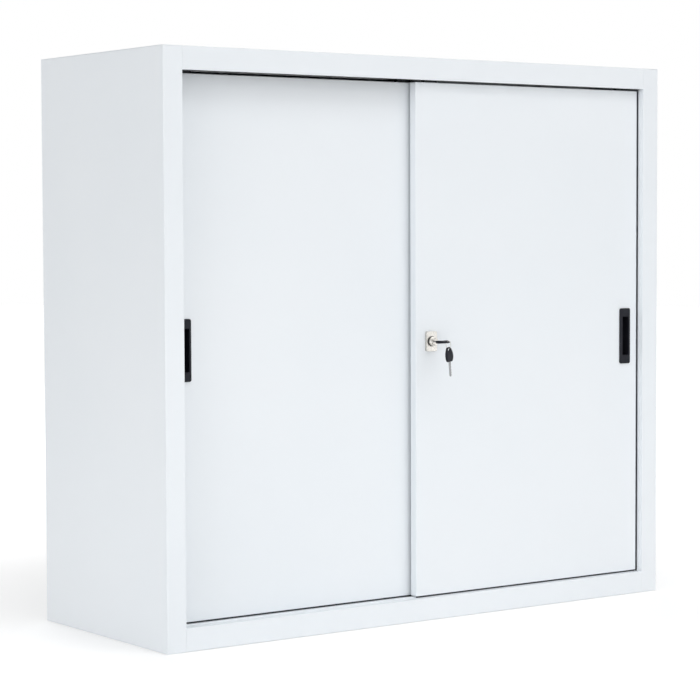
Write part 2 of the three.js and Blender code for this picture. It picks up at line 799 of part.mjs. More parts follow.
// The blade: a tang inside the bow, cuts along one edge and a pointed tip
function keyBlade() {
  const half = bladeWidth / 2;
  const top = bowBottom + bladeTang;
  const tip = bowBottom - bladeReach;
  const outline = new THREE.Shape();
  outline.moveTo(keyAxisShift - half, top);
  outline.lineTo(keyAxisShift - half, tip + half);
  outline.lineTo(keyAxisShift, tip);
  outline.lineTo(keyAxisShift + half, tip + half);
  for (let bite = 0; bite < biteCount; bite += 1) {
    const middle = tip + half + bitePitch / 2 + bite * bitePitch;
    outline.lineTo(keyAxisShift + half, middle - biteSpan / 2);
    outline.lineTo(keyAxisShift + half - biteDepth, middle);
    outline.lineTo(keyAxisShift + half, middle + biteSpan / 2);
  }
  outline.lineTo(keyAxisShift + half, top);
  return plateXZ(outline, -bladeThickness / 2, bladeThickness / 2);
}

// Carcass
for (const [hand, name] of [[-1, "left"], [1, "right"]]) {
  add(`${name}_side_panel`, sidePanel(hand), paint);
  add(`track_stop_${name}`, trackStop(hand), blackNylon);
  const uprights = [[front + frontUprightInset, "front"], [back - rearUprightInset - uprightWidth, "rear"]];
  for (const [y0, end] of uprights) {
    add(`shelf_upright_${name}_${end}`, upright(hand, y0), paint);
    shelfHeightShares.forEach((share, index) => {
      const z = slotZ(Math.round(share * (slotCount - 1)));
      add(`shelf_clip_${index + 1}_${name}_${end}`, shelfClip(hand, y0, z), galvanised);
    });
  }
}
shelfHeightShares.forEach((share, index) => {
  const z = slotZ(Math.round(share * (slotCount - 1)));
  add(`shelf_${index + 1}`, shelf(z), paint);
});
add("top_panel", topPanel(), paint);
add("bottom_panel", bottomPanel(), paint);
add("base_channel", baseChannel(), paint);
add("back_panel", backPanel(), paint);
add("top_track", topTrack(), galvanised);
add("guide_strip", guideStrip(), blackNylon);
add("sill_rail_front", sillRail(doorMiddles[0]), paint);
add("sill_rail_rear", sillRail(doorMiddles[1]), paint);

// Doors: the right one runs in front and carries the lock
const skinBack = frontDoorFace + sheet + overrun;
const lockHole = barY(barrelRadius + seam, lockX, lockHeight, frontDoorFace - overrun, skinBack);
const doors = [
  {
    name: "right_door",
    left: frontDoorLeft,
    face: frontDoorFace,
    middle: doorMiddles[0],
    pullX: frontDoorLeft + doorWidth - frontPullInset,
    pullZ: frontPullHeight,
    holes: [lockHole],
  },
  {
    name: "left_door",
    left: rearDoorLeft,
    face: rearDoorFace,
    middle: doorMiddles[1],
    pullX: rearDoorLeft + rearPullInset,
    pullZ: rearPullHeight,
    holes: [],
  },
];
const ends = [["left", 1], ["right", -1]];

for (const { name, left, face, middle, pullX, pullZ, holes } of doors) {
  const along = (hand, inset) => (hand > 0 ? left + inset : left + doorWidth - inset);
  const slots = ends.map(([, hand]) => rollerSlot(along(hand, rollerInset), middle));
  add(`${name}_panel`, doorPan(left, face, [pullCutOut(pullX, pullZ, face), ...slots, ...holes]), paint);
  add(`${name}_stiffener`, doorStiffener(left, face), galvanised);
  add(`${name}_pull`, pull(pullX, pullZ, face), blackPlastic);
  for (const [end, hand] of ends) {
    const guideX = along(hand, guideInset + guideLength / 2);
    const rollerX = along(hand, rollerInset);
    add(`${name}_top_guide_${end}`, topGuide(guideX, middle), blackNylon);
    add(`${name}_roller_bracket_${end}`, rollerBracket(rollerX, middle), galvanised);
    add(`${name}_axle_${end}`, rollerAxle(rollerX, middle), steel);
    add(`${name}_roller_${end}`, roller(rollerX, middle), blackNylon);
  }
}

// Lock
add("lock_escutcheon", escutcheon(), nickel);
add("lock_barrel", lockBarrel(), nickel);
add("lock_nut", lockNut(), galvanised);
add("lock_plug", lockPlug(), nickel);
add("lock_cam", lockCam(), galvanised);
add("lock_strike", lockStrike(), galvanised);

// The key in the lock lies on its side, its ring hole outwards
const bladeTip = plugFront + bladeInserted;
const ringHoleY = bladeTip - bladeReach - bowLength + eyeHoleInset;
const ringHoleX = lockX + keyAxisShift;
const insertedKey = new THREE.Group();
insertedKey.position.set(ringHoleX, ringHoleY, lockHeight);
insertedKey.rotation.set(Math.PI / 2, 0, Math.PI, "XYZ");
cabinet.add(insertedKey);
add("key_blade", keyBlade(), nickel, insertedKey);
add("key_bow", keyBow(), blackPlastic, insertedKey);

// The ring hangs from the bow's eye in the plane across the door, and the spare key from the ring
const ringY = ringHoleY - (eyeHoleInset + eyeHoleRadius) / 2 - ringOutset;
const ringZ = lockHeight + eyeThickness / 2 + ringLift - (ringRadius - ringWire);
const ringGeometry = new THREE.TorusGeometry(ringRadius, ringWire, wireSides, roundSides);
ringGeometry.rotateY(Math.PI / 2);
ringGeometry.translate(ringHoleX, ringY, ringZ);
add("key_ring", solid(ringGeometry), nickel);

const spareKey = new THREE.Group();
const wireBottom = ringZ - ringRadius;
const holeDrop = eyeHoleRadius - ringWire - keyClearance;
spareKey.position.set(ringHoleX, ringY, wireBottom);
spareKey.rotation.set(0, -spareLean, spareTurn, "ZYX");
cabinet.add(spareKey);
const spareBlade = add("spare_key_blade", keyBlade(), nickel, spareKey);
const spareBow = add("spare_key_bow", keyBow(), blackPlastic, spareKey);
for (const piece of [spareBlade, spareBow]) piece.position.z = -holeDrop;

export default cabinet;
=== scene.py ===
# %% [markdown]
# A steel cabinet with two sliding doors
#
# This lesson dresses the fixed frame of a sheet-steel office cabinet. The frame already holds
# every piece at its real size and place. What a maker adds here is what the eye looks for: bends
# with a radius, edges that catch light, moulded plastic, turned nickel, and a paint that is never
# quite flat. Each step first says what the piece is on the real cabinet, and then models it.

# %% Load the frame
import json
import math

import bmesh
import bpy
from mathutils import Matrix, Vector


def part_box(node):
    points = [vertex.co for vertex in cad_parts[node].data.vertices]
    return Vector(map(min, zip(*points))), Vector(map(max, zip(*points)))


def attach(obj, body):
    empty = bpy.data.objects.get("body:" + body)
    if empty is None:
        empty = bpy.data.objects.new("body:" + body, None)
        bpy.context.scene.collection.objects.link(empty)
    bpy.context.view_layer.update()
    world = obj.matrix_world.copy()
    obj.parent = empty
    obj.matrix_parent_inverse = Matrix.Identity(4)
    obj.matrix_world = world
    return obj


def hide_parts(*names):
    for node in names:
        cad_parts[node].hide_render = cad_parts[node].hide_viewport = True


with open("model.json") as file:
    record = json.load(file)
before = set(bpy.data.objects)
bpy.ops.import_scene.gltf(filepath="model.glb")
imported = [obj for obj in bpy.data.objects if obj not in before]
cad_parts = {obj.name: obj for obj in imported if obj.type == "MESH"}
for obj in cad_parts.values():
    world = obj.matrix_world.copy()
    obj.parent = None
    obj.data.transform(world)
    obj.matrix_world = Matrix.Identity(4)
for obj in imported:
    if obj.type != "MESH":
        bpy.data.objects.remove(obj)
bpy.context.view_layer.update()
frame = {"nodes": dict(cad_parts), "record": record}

MM = 0.001

# %% [markdown]
# The way of working
#
# Every new piece starts as a primitive at its size and place, is shaped in edit mode, and is
# finished with modifiers that are applied. With no mouse at hand, edges and faces are picked in
# code by where they lie. The helper `at` describes a place: a number pins an axis, a pair gives a
# range, and what is left out is free. `about` gives the range round a value, and `corners` the
# four edges of a plate's corners.

# %% Picking by place
NEAR = 0.02 * MM
TOUCHING = NEAR / 4
FAR = 10.0


def at(x=None, y=None, z=None):
    spans = []
    for span in (x, y, z):
        if span is None:
            span = (-FAR, FAR)
        elif not isinstance(span, tuple):
            span = (span, span)
        spans.append((min(span) - NEAR, max(span) + NEAR))
    return spans


def about(value, reach):
    """The range that reaches equally far to both sides of a value."""
    return value - reach, value + reach


def corners(xs, zs, y=None):
    """The four edges along Y at the corners of a rectangle."""
    return [at(x=x, y=y, z=z) for x in xs for z in zs]


def inside(point, place):
    return all(low <= value <= high for value, (low, high) in zip(point, place))


def pick(kind, *places):
    """Select the vertices, edges or faces in edit mode that lie wholly in one of the places."""
    bpy.ops.mesh.select_mode(type=kind)
    bpy.ops.mesh.select_all(action="DESELECT")
    mesh = bmesh.from_edit_mesh(bpy.context.object.data)
    parts = {"VERT": mesh.verts, "EDGE": mesh.edges, "FACE": mesh.faces}[kind]
    chosen = 0
    for part in parts:
        points = [part.co] if kind == "VERT" else [corner.co for corner in part.verts]
        if any(all(inside(point, place) for point in points) for place in places):
            part.select_set(True)
            chosen += 1
    if not chosen:
        raise ValueError(f"nothing of {bpy.context.object.name} lies in {places}")
    bmesh.update_edit_mesh(bpy.context.object.data)
    return chosen


print("places are matched to", NEAR / MM, "mm")

# %% Starting a piece


def take(piece):
    """Make a piece the only one selected, in object mode."""
    if bpy.context.object and bpy.context.object.mode == "EDIT":
        bpy.ops.object.mode_set(mode="OBJECT")
    bpy.ops.object.select_all(action="DESELECT")
    piece.select_set(True)
    bpy.context.view_layer.objects.active = piece


def settle(piece, scale=(1, 1, 1)):
    """Move a piece's size, turn and place into its mesh."""
    take(piece)
    piece.scale = scale
    bpy.ops.object.transform_apply(location=True, rotation=True, scale=True)
    return piece


def edit(piece):
    take(piece)
    bpy.ops.object.mode_set(mode="EDIT")


def named(name):
    piece = bpy.context.object
    piece.name = name
    piece.data.name = name
    return piece


def plane(name, low, high):
    """A flat sheet between two corners that share one coordinate, open in edit mode."""
    low, high = Vector(low), Vector(high)
    size = high - low
    bpy.ops.object.select_all(action="DESELECT")
    if size.x == 0:
        turn, scale = (0, math.pi / 2, 0), (size.z, size.y, 1)
    elif size.y == 0:
        turn, scale = (math.pi / 2, 0, 0), (size.x, size.z, 1)
    else:
        turn, scale = (0, 0, 0), (size.x, size.y, 1)
    bpy.ops.mesh.primitive_plane_add(size=1, location=(low + high) / 2, rotation=turn)
    piece = settle(named(name), scale)
    edit(piece)
    return piece


def cube(name, low, high):
    """A block between two corners, open in edit mode."""
    low, high = Vector(low), Vector(high)
    bpy.ops.object.select_all(action="DESELECT")
    bpy.ops.mesh.primitive_cube_add(size=1, location=(low + high) / 2)
    piece = settle(named(name), high - low)
    edit(piece)
    return piece


print("a piece starts as a plane, a block or a single point")

# %% Shaping a piece
AXES = (Vector((1, 0, 0)), Vector((0, 1, 0)), Vector((0, 0, 1)))
FINE_STEPS = 2
EDGE_STEPS = 3
CORNER_STEPS = 6
SMOOTH_UNDER = 40
TURNED_UNDER = 30
FACE_WEIGHT = 100


def fold_rim(by, *places):
    """Draw the edges in several places out together, which closes the corners between them."""
    pick("EDGE", *places)
    bpy.ops.mesh.extrude_edges_move(TRANSFORM_OT_translate={"value": by})


def fold(place, by):
    """Fold the edges in a place: draw them out by a vector."""
    fold_rim(by, place)


def slice_at(axis, *values):
    """Cut every selected face along planes across an axis."""
    for value in values:
        bpy.ops.mesh.select_mode(type="FACE")
        bpy.ops.mesh.select_all(action="SELECT")
        bpy.ops.mesh.bisect(plane_co=AXES[axis] * value, plane_no=AXES[axis])


def cut_window(place, hole):
    """Take a rectangular hole out of the flat faces in a place."""
    for axis, (low, high) in enumerate(hole):
        if high - low > FAR:
            continue
        for value in (low + NEAR, high - NEAR):
            pick("FACE", place)
            bpy.ops.mesh.bisect(plane_co=AXES[axis] * value, plane_no=AXES[axis])
    pick("FACE", [(max(a, c), min(b, d)) for (a, b), (c, d) in zip(place, hole)])
    bpy.ops.mesh.delete(type="FACE")


def round_edges(radius, steps, *places):
    pick("EDGE", *places)
    bpy.ops.mesh.bevel(offset=radius, segments=steps, affect="EDGES")


def modify(piece, kind, **settings):
    """Add a modifier with its settings and apply it."""
    take(piece)
    modifier = piece.modifiers.new(kind.title(), kind)
    for key, value in settings.items():
        setattr(modifier, key, value)
    bpy.ops.object.modifier_apply(modifier=modifier.name)


def agree(piece):
    """Turn all faces of a piece to the same side."""
    edit(piece)
    bpy.ops.mesh.select_all(action="SELECT")
    bpy.ops.mesh.normals_make_consistent(inside=False)
    take(piece)


def face_out(piece, outside):
    """Make the faces agree, with the largest one pointing to the outside."""
    agree(piece)
    largest = max(piece.data.polygons, key=lambda face: face.area)
    if largest.normal.dot(Vector(outside)) < 0:
        piece.data.flip_normals()


def soften(piece, angle=SMOOTH_UNDER):
    """Shade round faces smoothly and keep large flat ones flat."""
    take(piece)
    bpy.ops.object.shade_smooth_by_angle(angle=math.radians(angle))
    modify(piece, "WEIGHTED_NORMAL", keep_sharp=True, weight=FACE_WEIGHT)


def combine(piece, other, operation):
    """Join two solids, or cut one out of the other, and throw the other away."""
    modify(piece, "BOOLEAN", object=other, operation=operation, solver="EXACT")
    bpy.data.meshes.remove(other.data)


def subtract(piece, cutter):
    combine(piece, cutter, "DIFFERENCE")


def repeat(piece, step, count):
    """Repeat a piece along a step."""
    spacing = {"use_relative_offset": False, "use_constant_offset": True}
    modify(piece, "ARRAY", count=count, constant_offset_displace=step, **spacing)


def copied(piece, name, move=(0, 0, 0), mirrored=False):
    """A copy with a mesh of its own, moved, or mirrored across the middle of the cabinet."""
    take(piece)
    bpy.ops.object.duplicate()
    twin = named(name)
    twin.location = move
    settle(twin, (-1 if mirrored else 1, 1, 1))
    if mirrored:
        agree(twin)
        soften(twin)
    return twin


print("shaping tools ready")

# %% [markdown]
# Folded sheet
#
# The carcass and the doors are one-millimetre sheet bent on a press brake. It could be modelled as
# solid blocks, but then each bend would be a knife edge. A maker thinks of the sheet's outer face:
# here it is drawn as a surface, folded edge by edge, its bends are rounded with a bevel, and the
# thickness comes last and goes inwards.

# %% From a folded surface to sheet metal
SHEET = 1.0 * MM
BEND = 1.6 * MM
BEND_STEPS = 3
BEND_LIMIT = math.radians(30)


def bevel(piece, width, steps):
    """Round every edge that is sharper than a slight bend."""
    limit = {"limit_method": "ANGLE", "angle_limit": BEND_LIMIT}
    modify(piece, "BEVEL", width=width, segments=steps, **limit)


def press(piece, outside, bend=BEND, thickness=SHEET):
    """Round the bends of a folded surface and thicken it inwards."""
    face_out(piece, outside)
    bevel(piece, bend, BEND_STEPS)
    edit(piece)
    bpy.ops.mesh.select_all(action="SELECT")
    bpy.ops.mesh.remove_doubles(threshold=NEAR)
    bpy.ops.mesh.dissolve_degenerate(threshold=NEAR)
    take(piece)
    modify(piece, "SOLIDIFY", thickness=thickness, offset=-1, use_even_offset=True)
    soften(piece)


print("sheet", SHEET / MM, "mm, bends of", BEND / MM, "mm")

# %% [markdown]
# Powder coat
#
# The cabinet is sprayed with powder that melts into a tough satin skin. Seen close it has a fine
# orange peel, and from a step away its tone drifts a little. Both come from noise on the object's
# own coordinates, so the pattern stays on the piece when a door slides. Colour is a mix of two
# close whites with a cool cast, and the roughness drifts with a second, finer noise.

# %% Node helpers
NOISE_SPAN = (0.3, 0.7)


def new_material(name, **constants):
    """A material with a principled shader whose constant values are set on its own sockets."""
    material = bpy.data.materials.new(name)
    material.use_nodes = True
    shader = material.node_tree.nodes["Principled BSDF"]
    for socket, value in constants.items():
        shader.inputs[socket.replace("_", " ")].default_value = value
    return material, material.node_tree, shader


def noise(tree, scale, detail=2.0, stretch=(1, 1, 1)):
    """Noise on object coordinates, stretched along an axis where the finish has a direction."""
    place = tree.nodes.new("ShaderNodeTexCoord")
    mapping = tree.nodes.new("ShaderNodeMapping")
    mapping.inputs["Scale"].default_value = stretch
    texture = tree.nodes.new("ShaderNodeTexNoise")
    texture.inputs["Scale"].default_value = scale
    texture.inputs["Detail"].default_value = detail
    tree.links.new(place.outputs["Object"], mapping.inputs["Vector"])
    tree.links.new(mapping.outputs["Vector"], texture.inputs["Vector"])
    return texture.outputs["Fac"]


def between(tree, factor, low, high, span=NOISE_SPAN):
    """Carry the span of a pattern to a range of values."""
    spread = tree.nodes.new("ShaderNodeMapRange")
    for socket, value in zip(("From Min", "From Max", "To Min", "To Max"), (*span, low, high)):
        spread.inputs[socket].default_value = value
    tree.links.new(factor, spread.inputs["Value"])
    return spread.outputs["Result"]


def blend_colours(tree, factor, *colours):
    ramp = tree.nodes.new("ShaderNodeValToRGB")
    for element, position, colour in zip(ramp.color_ramp.elements, NOISE_SPAN, colours):
        element.position = position
        element.color = (*colour, 1)
    tree.links.new(factor, ramp.inputs["Fac"])
    return ramp.outputs["Color"]


def bump(tree, shader, height, depth):
    """Raise a pattern by a real depth in metres."""
    node = tree.nodes.new("ShaderNodeBump")
    node.inputs["Strength"].default_value = 1.0
    node.inputs["Distance"].default_value = depth
    tree.links.new(height, node.inputs["Height"])
    tree.links.new(node.outputs["Normal"], shader.inputs["Normal"])


def make_finish(name, tone, colours, gloss, roughness, grain, depth, **constants):
    """A finish whose colour, roughness and relief, deep in millimetres, each follow a noise."""
    material, tree, shader = new_material(name, **constants)
    tree.links.new(blend_colours(tree, noise(tree, *tone), *colours), shader.inputs["Base Color"])
    tree.links.new(between(tree, noise(tree, *gloss), *roughness), shader.inputs["Roughness"])
    bump(tree, shader, noise(tree, *grain), depth * MM)
    materials[name] = material


materials = {}
print("node helpers ready")

# %% White powder coat
PEEL_SCALE = 420

make_finish(
    "white_powder_coat",
    tone=(2.2, 3),
    colours=((0.816, 0.855, 0.89), (0.84, 0.873, 0.904)),
    gloss=(14, 3),
    roughness=(0.4, 0.5),
    grain=(PEEL_SCALE, 2),
    depth=0.006,
)
print("paint peel repeats about every", round(1 / PEEL_SCALE / MM, 1), "mm")

# %% [markdown]
# Metals
#
# Three bare metals are in the cabinet. The hidden brackets and the track are zinc plated, with a
# cloudy bloom. The axles are drawn bar, with fine lines along their length. The lock and the keys
# are nickel plated, warmer than steel, and polished by handling. The blades are painted darker, as
# painted shade, and wear in the lock scratches them along their length.

# %% Zinc, steel and nickel
DRAWN_LINES = (900, 3, (1, 0.02, 1))
SCRATCHES = (1400, 3, (1, 1, 0.08))

# The blades' nickel is painted darker than the lock's: painted shade, over scratches of wear.
make_finish(
    "worn_nickel_with_painted_shade",
    tone=SCRATCHES,
    colours=((0.26, 0.265, 0.27), (0.42, 0.425, 0.43)),
    gloss=SCRATCHES,
    roughness=(0.22, 0.36),
    grain=SCRATCHES,
    depth=0.002,
    Metallic=1.0,
)
make_finish(
    "zinc_plated_steel",
    tone=(90, 4),
    colours=((0.56, 0.575, 0.59), (0.7, 0.71, 0.72)),
    gloss=(240, 3),
    roughness=(0.32, 0.5),
    grain=(700, 2),
    depth=0.004,
    Metallic=1.0,
)
make_finish(
    "bright_steel",
    tone=DRAWN_LINES,
    colours=((0.6, 0.61, 0.62), (0.74, 0.745, 0.75)),
    gloss=DRAWN_LINES,
    roughness=(0.24, 0.38),
    grain=DRAWN_LINES,
    depth=0.004,
    Metallic=1.0,
)
make_finish(
    "nickel_plate",
    tone=(160, 4),
    colours=((0.6, 0.585, 0.55), (0.68, 0.665, 0.63)),
    gloss=(500, 4),
    roughness=(0.25, 0.31),
    grain=(1800, 3),
    depth=0.0008,
    Metallic=1.0,
)
print("metals ready")

# %% [markdown]
# Plastics
#
# The pulls and the key bows are black plastic from a mould with a fine spark-eroded grain, which
# breaks up the shine. The rollers, the guides, the stops, the strips of painted shade under the
# doors and the ring of painted shade round the lock's head are black nylon: plainer and more matt,
# so that the gaps round the doors stay dark.

# %% Black plastic and black nylon
make_finish(
    "black_plastic",
    tone=(70, 3),
    colours=((0.009, 0.01, 0.015), (0.015, 0.016, 0.022)),
    gloss=(400, 3),
    roughness=(0.42, 0.56),
    grain=(1500, 2),
    depth=0.012,
    Specular_IOR_Level=0.16,
)
make_finish(
    "black_nylon",
    tone=(60, 2),
    colours=((0.013, 0.014, 0.017), (0.02, 0.021, 0.025)),
    gloss=(300, 3),
    roughness=(0.4, 0.55),
    grain=(800, 2),
    depth=0.004,
    Specular_IOR_Level=0.35,
)
print("plastics ready:", sorted(materials))

# %% [markdown]
# Finishes on the frame's own pieces
#
# The record says which finish each piece has, so one loop gives every piece of the frame its
# material. Each is then remade below with the bends, the broken edges and the turned profiles of
# the real one, and `dress` hands the new piece its finish, its body and the piece that it stands
# for.

# %% Dress the frame, and a helper to dress new pieces
slot_of = {part["node"]: part["material_slot"] for part in frame["record"]["subparts"]}
body_of = {}
for body, members in frame["record"]["behaviour"]["bodies"].items():
    for member in members:
        body_of[member] = body
for node_name, node in frame["nodes"].items():
    for material_slot in node.material_slots:
        material_slot.material = materials[slot_of[node_name]]


def dress(piece, node, replaces=True, finish=None):
    """Give a new piece the finish and the body of a piece of the frame, and let it stand for it."""
    finish = finish or slot_of[node]
    piece.data.materials.clear()
    piece.data.materials.append(materials[finish])
    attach(piece, body_of[node])
    if replaces:
        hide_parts(node)
    faces = len(piece.data.polygons)
    print(piece.name, "stands for" if replaces else "joins", node, faces, "faces")
    return piece


print(len(slot_of), "pieces of the frame have their finish")

# %% [markdown]
# Side panels
#
# Each side is one sheet. Its front edge is bent three times into a stile: across the front, back
# into the cabinet, and a hem behind the door. The rear edge has one fold. The seams beside the
# rails come from the bend's own radius, as on the real cabinet.

# %% Side panels
STILE_RETURN = 15 * MM
STILE_BEND = 0.6 * MM
STILE_HEM = 12 * MM
REAR_FOLD = 15 * MM


def side_panel(name, hand):
    low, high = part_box(name)
    outer = high.x if hand > 0 else low.x
    inner = low.x if hand > 0 else high.x
    piece = plane(f"{name}_sheet", (outer, low.y, low.z), (outer, high.y, high.z))
    fold(at(x=outer, y=low.y), (inner - outer, 0, 0))
    fold(at(x=inner, y=low.y), (0, STILE_RETURN, 0))
    fold(at(x=inner, y=low.y + STILE_RETURN), (hand * STILE_HEM, 0, 0))
    fold(at(x=outer, y=high.y), (-hand * REAR_FOLD, 0, 0))
    press(piece, (hand, 0, 0), bend=STILE_BEND)
    return dress(piece, name)


for name, hand in (("left_side_panel", -1), ("right_side_panel", 1)):
    side_panel(name, hand)

# %% [markdown]
# Top, deck and back
#
# The top panel covers everything and turns down into the front rail, between the stiles. The deck
# turns down at all four sides and stands on the floor on two narrow returns. Where a fold is
# shorter than its edge, the sheet is first sliced there, as the maker would notch it.

# %% Top panel
RAIL_GAP = 0.1 * MM
RAIL_OVER_DOOR = 3.3 * MM
RAIL_RETURN = 8 * MM
RAIL_HEM = 11 * MM
TOP_REAR_FLANGE = 21 * MM

top_low, top_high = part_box("top_panel")
side_low, side_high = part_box("right_side_panel")
rail_half = side_low.x - RAIL_GAP
rear_half = top_high.x - REAR_FOLD - RAIL_GAP
rail_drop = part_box("right_door_panel")[1].z + RAIL_OVER_DOOR - top_high.z


def top_panel():
    top = top_high.z
    front, rear = top_low.y, top_high.y
    piece = plane("top_panel_sheet", (top_low.x, front, top), (top_high.x, rear, top))
    slice_at(0, -rear_half, -rail_half, rail_half, rear_half)
    fold(at(x=(-rail_half, rail_half), y=front, z=top), (0, 0, rail_drop))
    fold(at(y=front, z=top + rail_drop), (0, RAIL_RETURN, 0))
    fold(at(y=front + RAIL_RETURN, z=top + rail_drop), (0, 0, RAIL_HEM))
    fold(at(x=(-rear_half, rear_half), y=rear, z=top), (0, 0, -TOP_REAR_FLANGE))
    press(piece, (0, 0, 1))
    return dress(piece, "top_panel")


top_panel()

# %% Deck with its sill
SILL_RETURN = 20 * MM

deck_low, deck_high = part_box("bottom_panel")


def deck():
    top = deck_high.z
    front, rear = deck_low.y, deck_high.y
    shoulder = front + STILE_RETURN + RAIL_GAP
    rear_shoulder = rear - SHEET - RAIL_GAP
    half = deck_high.x
    piece = plane("bottom_panel_sheet", (-half, front, top), (half, rear, top))
    slice_at(0, -rear_half, -rail_half, rail_half, rear_half)
    slice_at(1, shoulder, rear_shoulder)
    for side in (-1, 1):
        corner = (side * rail_half, side * half)
        rear_corner = (side * rear_half, side * half)
        pick("FACE", at(x=corner, y=(front, shoulder)), at(x=rear_corner, y=(rear_shoulder, rear)))
        bpy.ops.mesh.delete(type="FACE")
        fold(at(x=side * half), (0, 0, deck_low.z - top))
    fold(at(y=front), (0, 0, deck_low.z - top))
    fold(at(y=rear), (0, 0, deck_low.z - top))
    fold(at(y=front, z=deck_low.z), (0, SILL_RETURN, 0))
    fold(at(y=rear, z=deck_low.z), (0, -SILL_RETURN, 0))
    press(piece, (0, 0, 1))
    return dress(piece, "bottom_panel")


deck()

# %% [markdown]
# Back panel
#
# The back would drum if it were one flat sheet, so two wide fields are pressed into it, two
# millimetres deep. Each is an inset of one half of the sheet, with a second inset for the sloping
# border, moved inwards. The sheet sits inside the folds of the carcass and is riveted to them. One
# rivet is turned, and the Array modifier repeats it along the two sides and the top.

# %% Back panel and the channel under the deck
BACK_FLANGE = 12 * MM
FIELD_MARGIN = 60 * MM
FIELD_SLOPE = 3.2 * MM
FIELD_DEPTH = 2.2 * MM
CHANNEL_FLANGE = 15 * MM


def back_panel():
    low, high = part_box("back_panel")
    piece = plane("back_panel_sheet", (low.x, high.y, low.z), (high.x, high.y, high.z))
    slice_at(0, 0)
    pick("FACE", at(y=high.y))
    bpy.ops.mesh.inset(thickness=FIELD_MARGIN, use_individual=True)
    bpy.ops.mesh.inset(thickness=FIELD_SLOPE, use_individual=True)
    bpy.ops.transform.translate(value=(0, -FIELD_DEPTH, 0))
    fold(at(x=low.x, y=high.y), (0, -BACK_FLANGE, 0))
    fold(at(x=high.x, y=high.y), (0, -BACK_FLANGE, 0))
    press(piece, (0, 1, 0))
    return dress(piece, "back_panel")


def base_channel():
    low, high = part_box("base_channel")
    half = high.x - CHANNEL_FLANGE
    under = high.z - SHEET
    piece = plane("base_channel_sheet", (-half, low.y, low.z), (half, high.y, low.z))
    for side in (-1, 1):
        fold(at(x=side * half, z=low.z), (0, 0, under - low.z))
        fold(at(x=side * half, z=under), (side * CHANNEL_FLANGE, 0, 0))
    press(piece, (0, 0, -1))
    return dress(piece, "base_channel")


back_panel()
base_channel()

# %% [markdown]
# Door pans
#
# A sliding door is a shallow pan: the skin turns back at all four sides, and the long sides turn
# in once more behind. Folding the whole rim at once closes the corners, which on the real door are
# welded and ground. Windows are cut behind the pull and the lock and under the rollers before the
# sheet gets its thickness, so every hole has a proper rim.

# %% Door pans
DOOR_LIP = 12 * MM
PULL_CUP = (20.6 * MM, 83.6 * MM)
LOCK_WINDOW = 8.3 * MM
ROLLER_SLOT = 11 * MM
BRACKET_SLOT = 4.6 * MM
CUP_SHIFT = 1.8 * MM


def centre(node):
    low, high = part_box(node)
    return (low + high) / 2


def door_pan(name, lock=None):
    node = f"{name}_panel"
    low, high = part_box(node)
    piece = plane(f"{node}_sheet", (low.x, low.y, low.z), (high.x, low.y, high.z))
    rim = at(x=low.x), at(x=high.x), at(z=low.z), at(z=high.z)
    fold_rim((0, high.y - low.y, 0), *rim)
    fold(at(x=low.x, y=high.y), (DOOR_LIP, 0, 0))
    fold(at(x=high.x, y=high.y), (-DOOR_LIP, 0, 0))
    pull = centre(f"{name}_pull")
    wide, tall = PULL_CUP
    cup = at(x=about(pull.x + CUP_SHIFT, wide / 2), z=about(pull.z, tall / 2))
    cut_window(at(y=low.y), cup)
    if lock is not None:
        cut_window(at(y=low.y), at(x=about(lock.x, LOCK_WINDOW), z=about(lock.z, LOCK_WINDOW)))
    for end in ("left", "right"):
        roller = centre(f"{name}_roller_{end}")
        under = at(x=about(roller.x, ROLLER_SLOT), y=about(roller.y, BRACKET_SLOT))
        cut_window(at(z=low.z), under)
    press(piece, (0, -1, 0))
    return dress(piece, node)


door_pan("right_door", lock=centre("lock_barrel"))
door_pan("left_door")

# %% [markdown]
# Shelves and their uprights
#
# A shelf is a tray turned upside down, hemmed in at front and back so that no raw edge meets a
# hand. The slotted uprights are the same for all four corners: one is modelled, its column of
# rounded slots is cut with a single repeated cutter, and the rest are copies and mirror images.

# %% Shelves
SHELF_HEM = 12 * MM


def shelf(name):
    low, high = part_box(name)
    piece = plane(f"{name}_sheet", (low.x, low.y, high.z), (high.x, high.y, high.z))
    rim = at(x=low.x), at(x=high.x), at(y=low.y), at(y=high.y)
    fold_rim((0, 0, low.z - high.z), *rim)
    fold(at(y=low.y, z=low.z), (0, SHELF_HEM, 0))
    fold(at(y=high.y, z=low.z), (0, -SHELF_HEM, 0))
    press(piece, (0, 0, 1))
    return dress(piece, name)


shelf("shelf_1")
shelf("shelf_2")

# %% Slotted uprights
UPRIGHT_WALL = 1.2 * MM
UPRIGHT_BEND = 1.8 * MM
SLOT = (4 * MM, 14 * MM)
SLOT_ROUND = 1.9 * MM
SLOT_STEPS = 4
SLOT_PITCH = 50 * MM
FIRST_SLOT = 93 * MM
CUT_THROUGH = 3 * MM


def slot_column(low, high, face):
    """A column of rounded cutters through the face of an upright."""
    middle = (low.y + high.y) / 2
    wide, tall = SLOT
    start = Vector((face - CUT_THROUGH, middle - wide / 2, FIRST_SLOT))
    end = Vector((face + CUT_THROUGH, middle + wide / 2, FIRST_SLOT + tall))
    cutter = cube("slot_cutter", start, end)
    edges = [at(y=y, z=z) for y in (start.y, end.y) for z in (start.z, end.z)]
    round_edges(SLOT_ROUND, SLOT_STEPS, *edges)
    count = int((high.z - FIRST_SLOT - SLOT_PITCH) / SLOT_PITCH) + 1
    repeat(cutter, (0, 0, SLOT_PITCH), count)
    print("slots in an upright:", count)
    return cutter


def upright():
    node = "shelf_upright_right_front"
    low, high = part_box(node)
    piece = plane(f"{node}_sheet", (low.x, low.y, low.z), (low.x, high.y, high.z))
    fold(at(x=low.x, y=low.y), (high.x - low.x, 0, 0))
    fold(at(x=low.x, y=high.y), (high.x - low.x, 0, 0))
    press(piece, (-1, 0, 0), bend=UPRIGHT_BEND, thickness=UPRIGHT_WALL)
    subtract(piece, slot_column(low, high, low.x))
    soften(piece)
    return dress(piece, node)


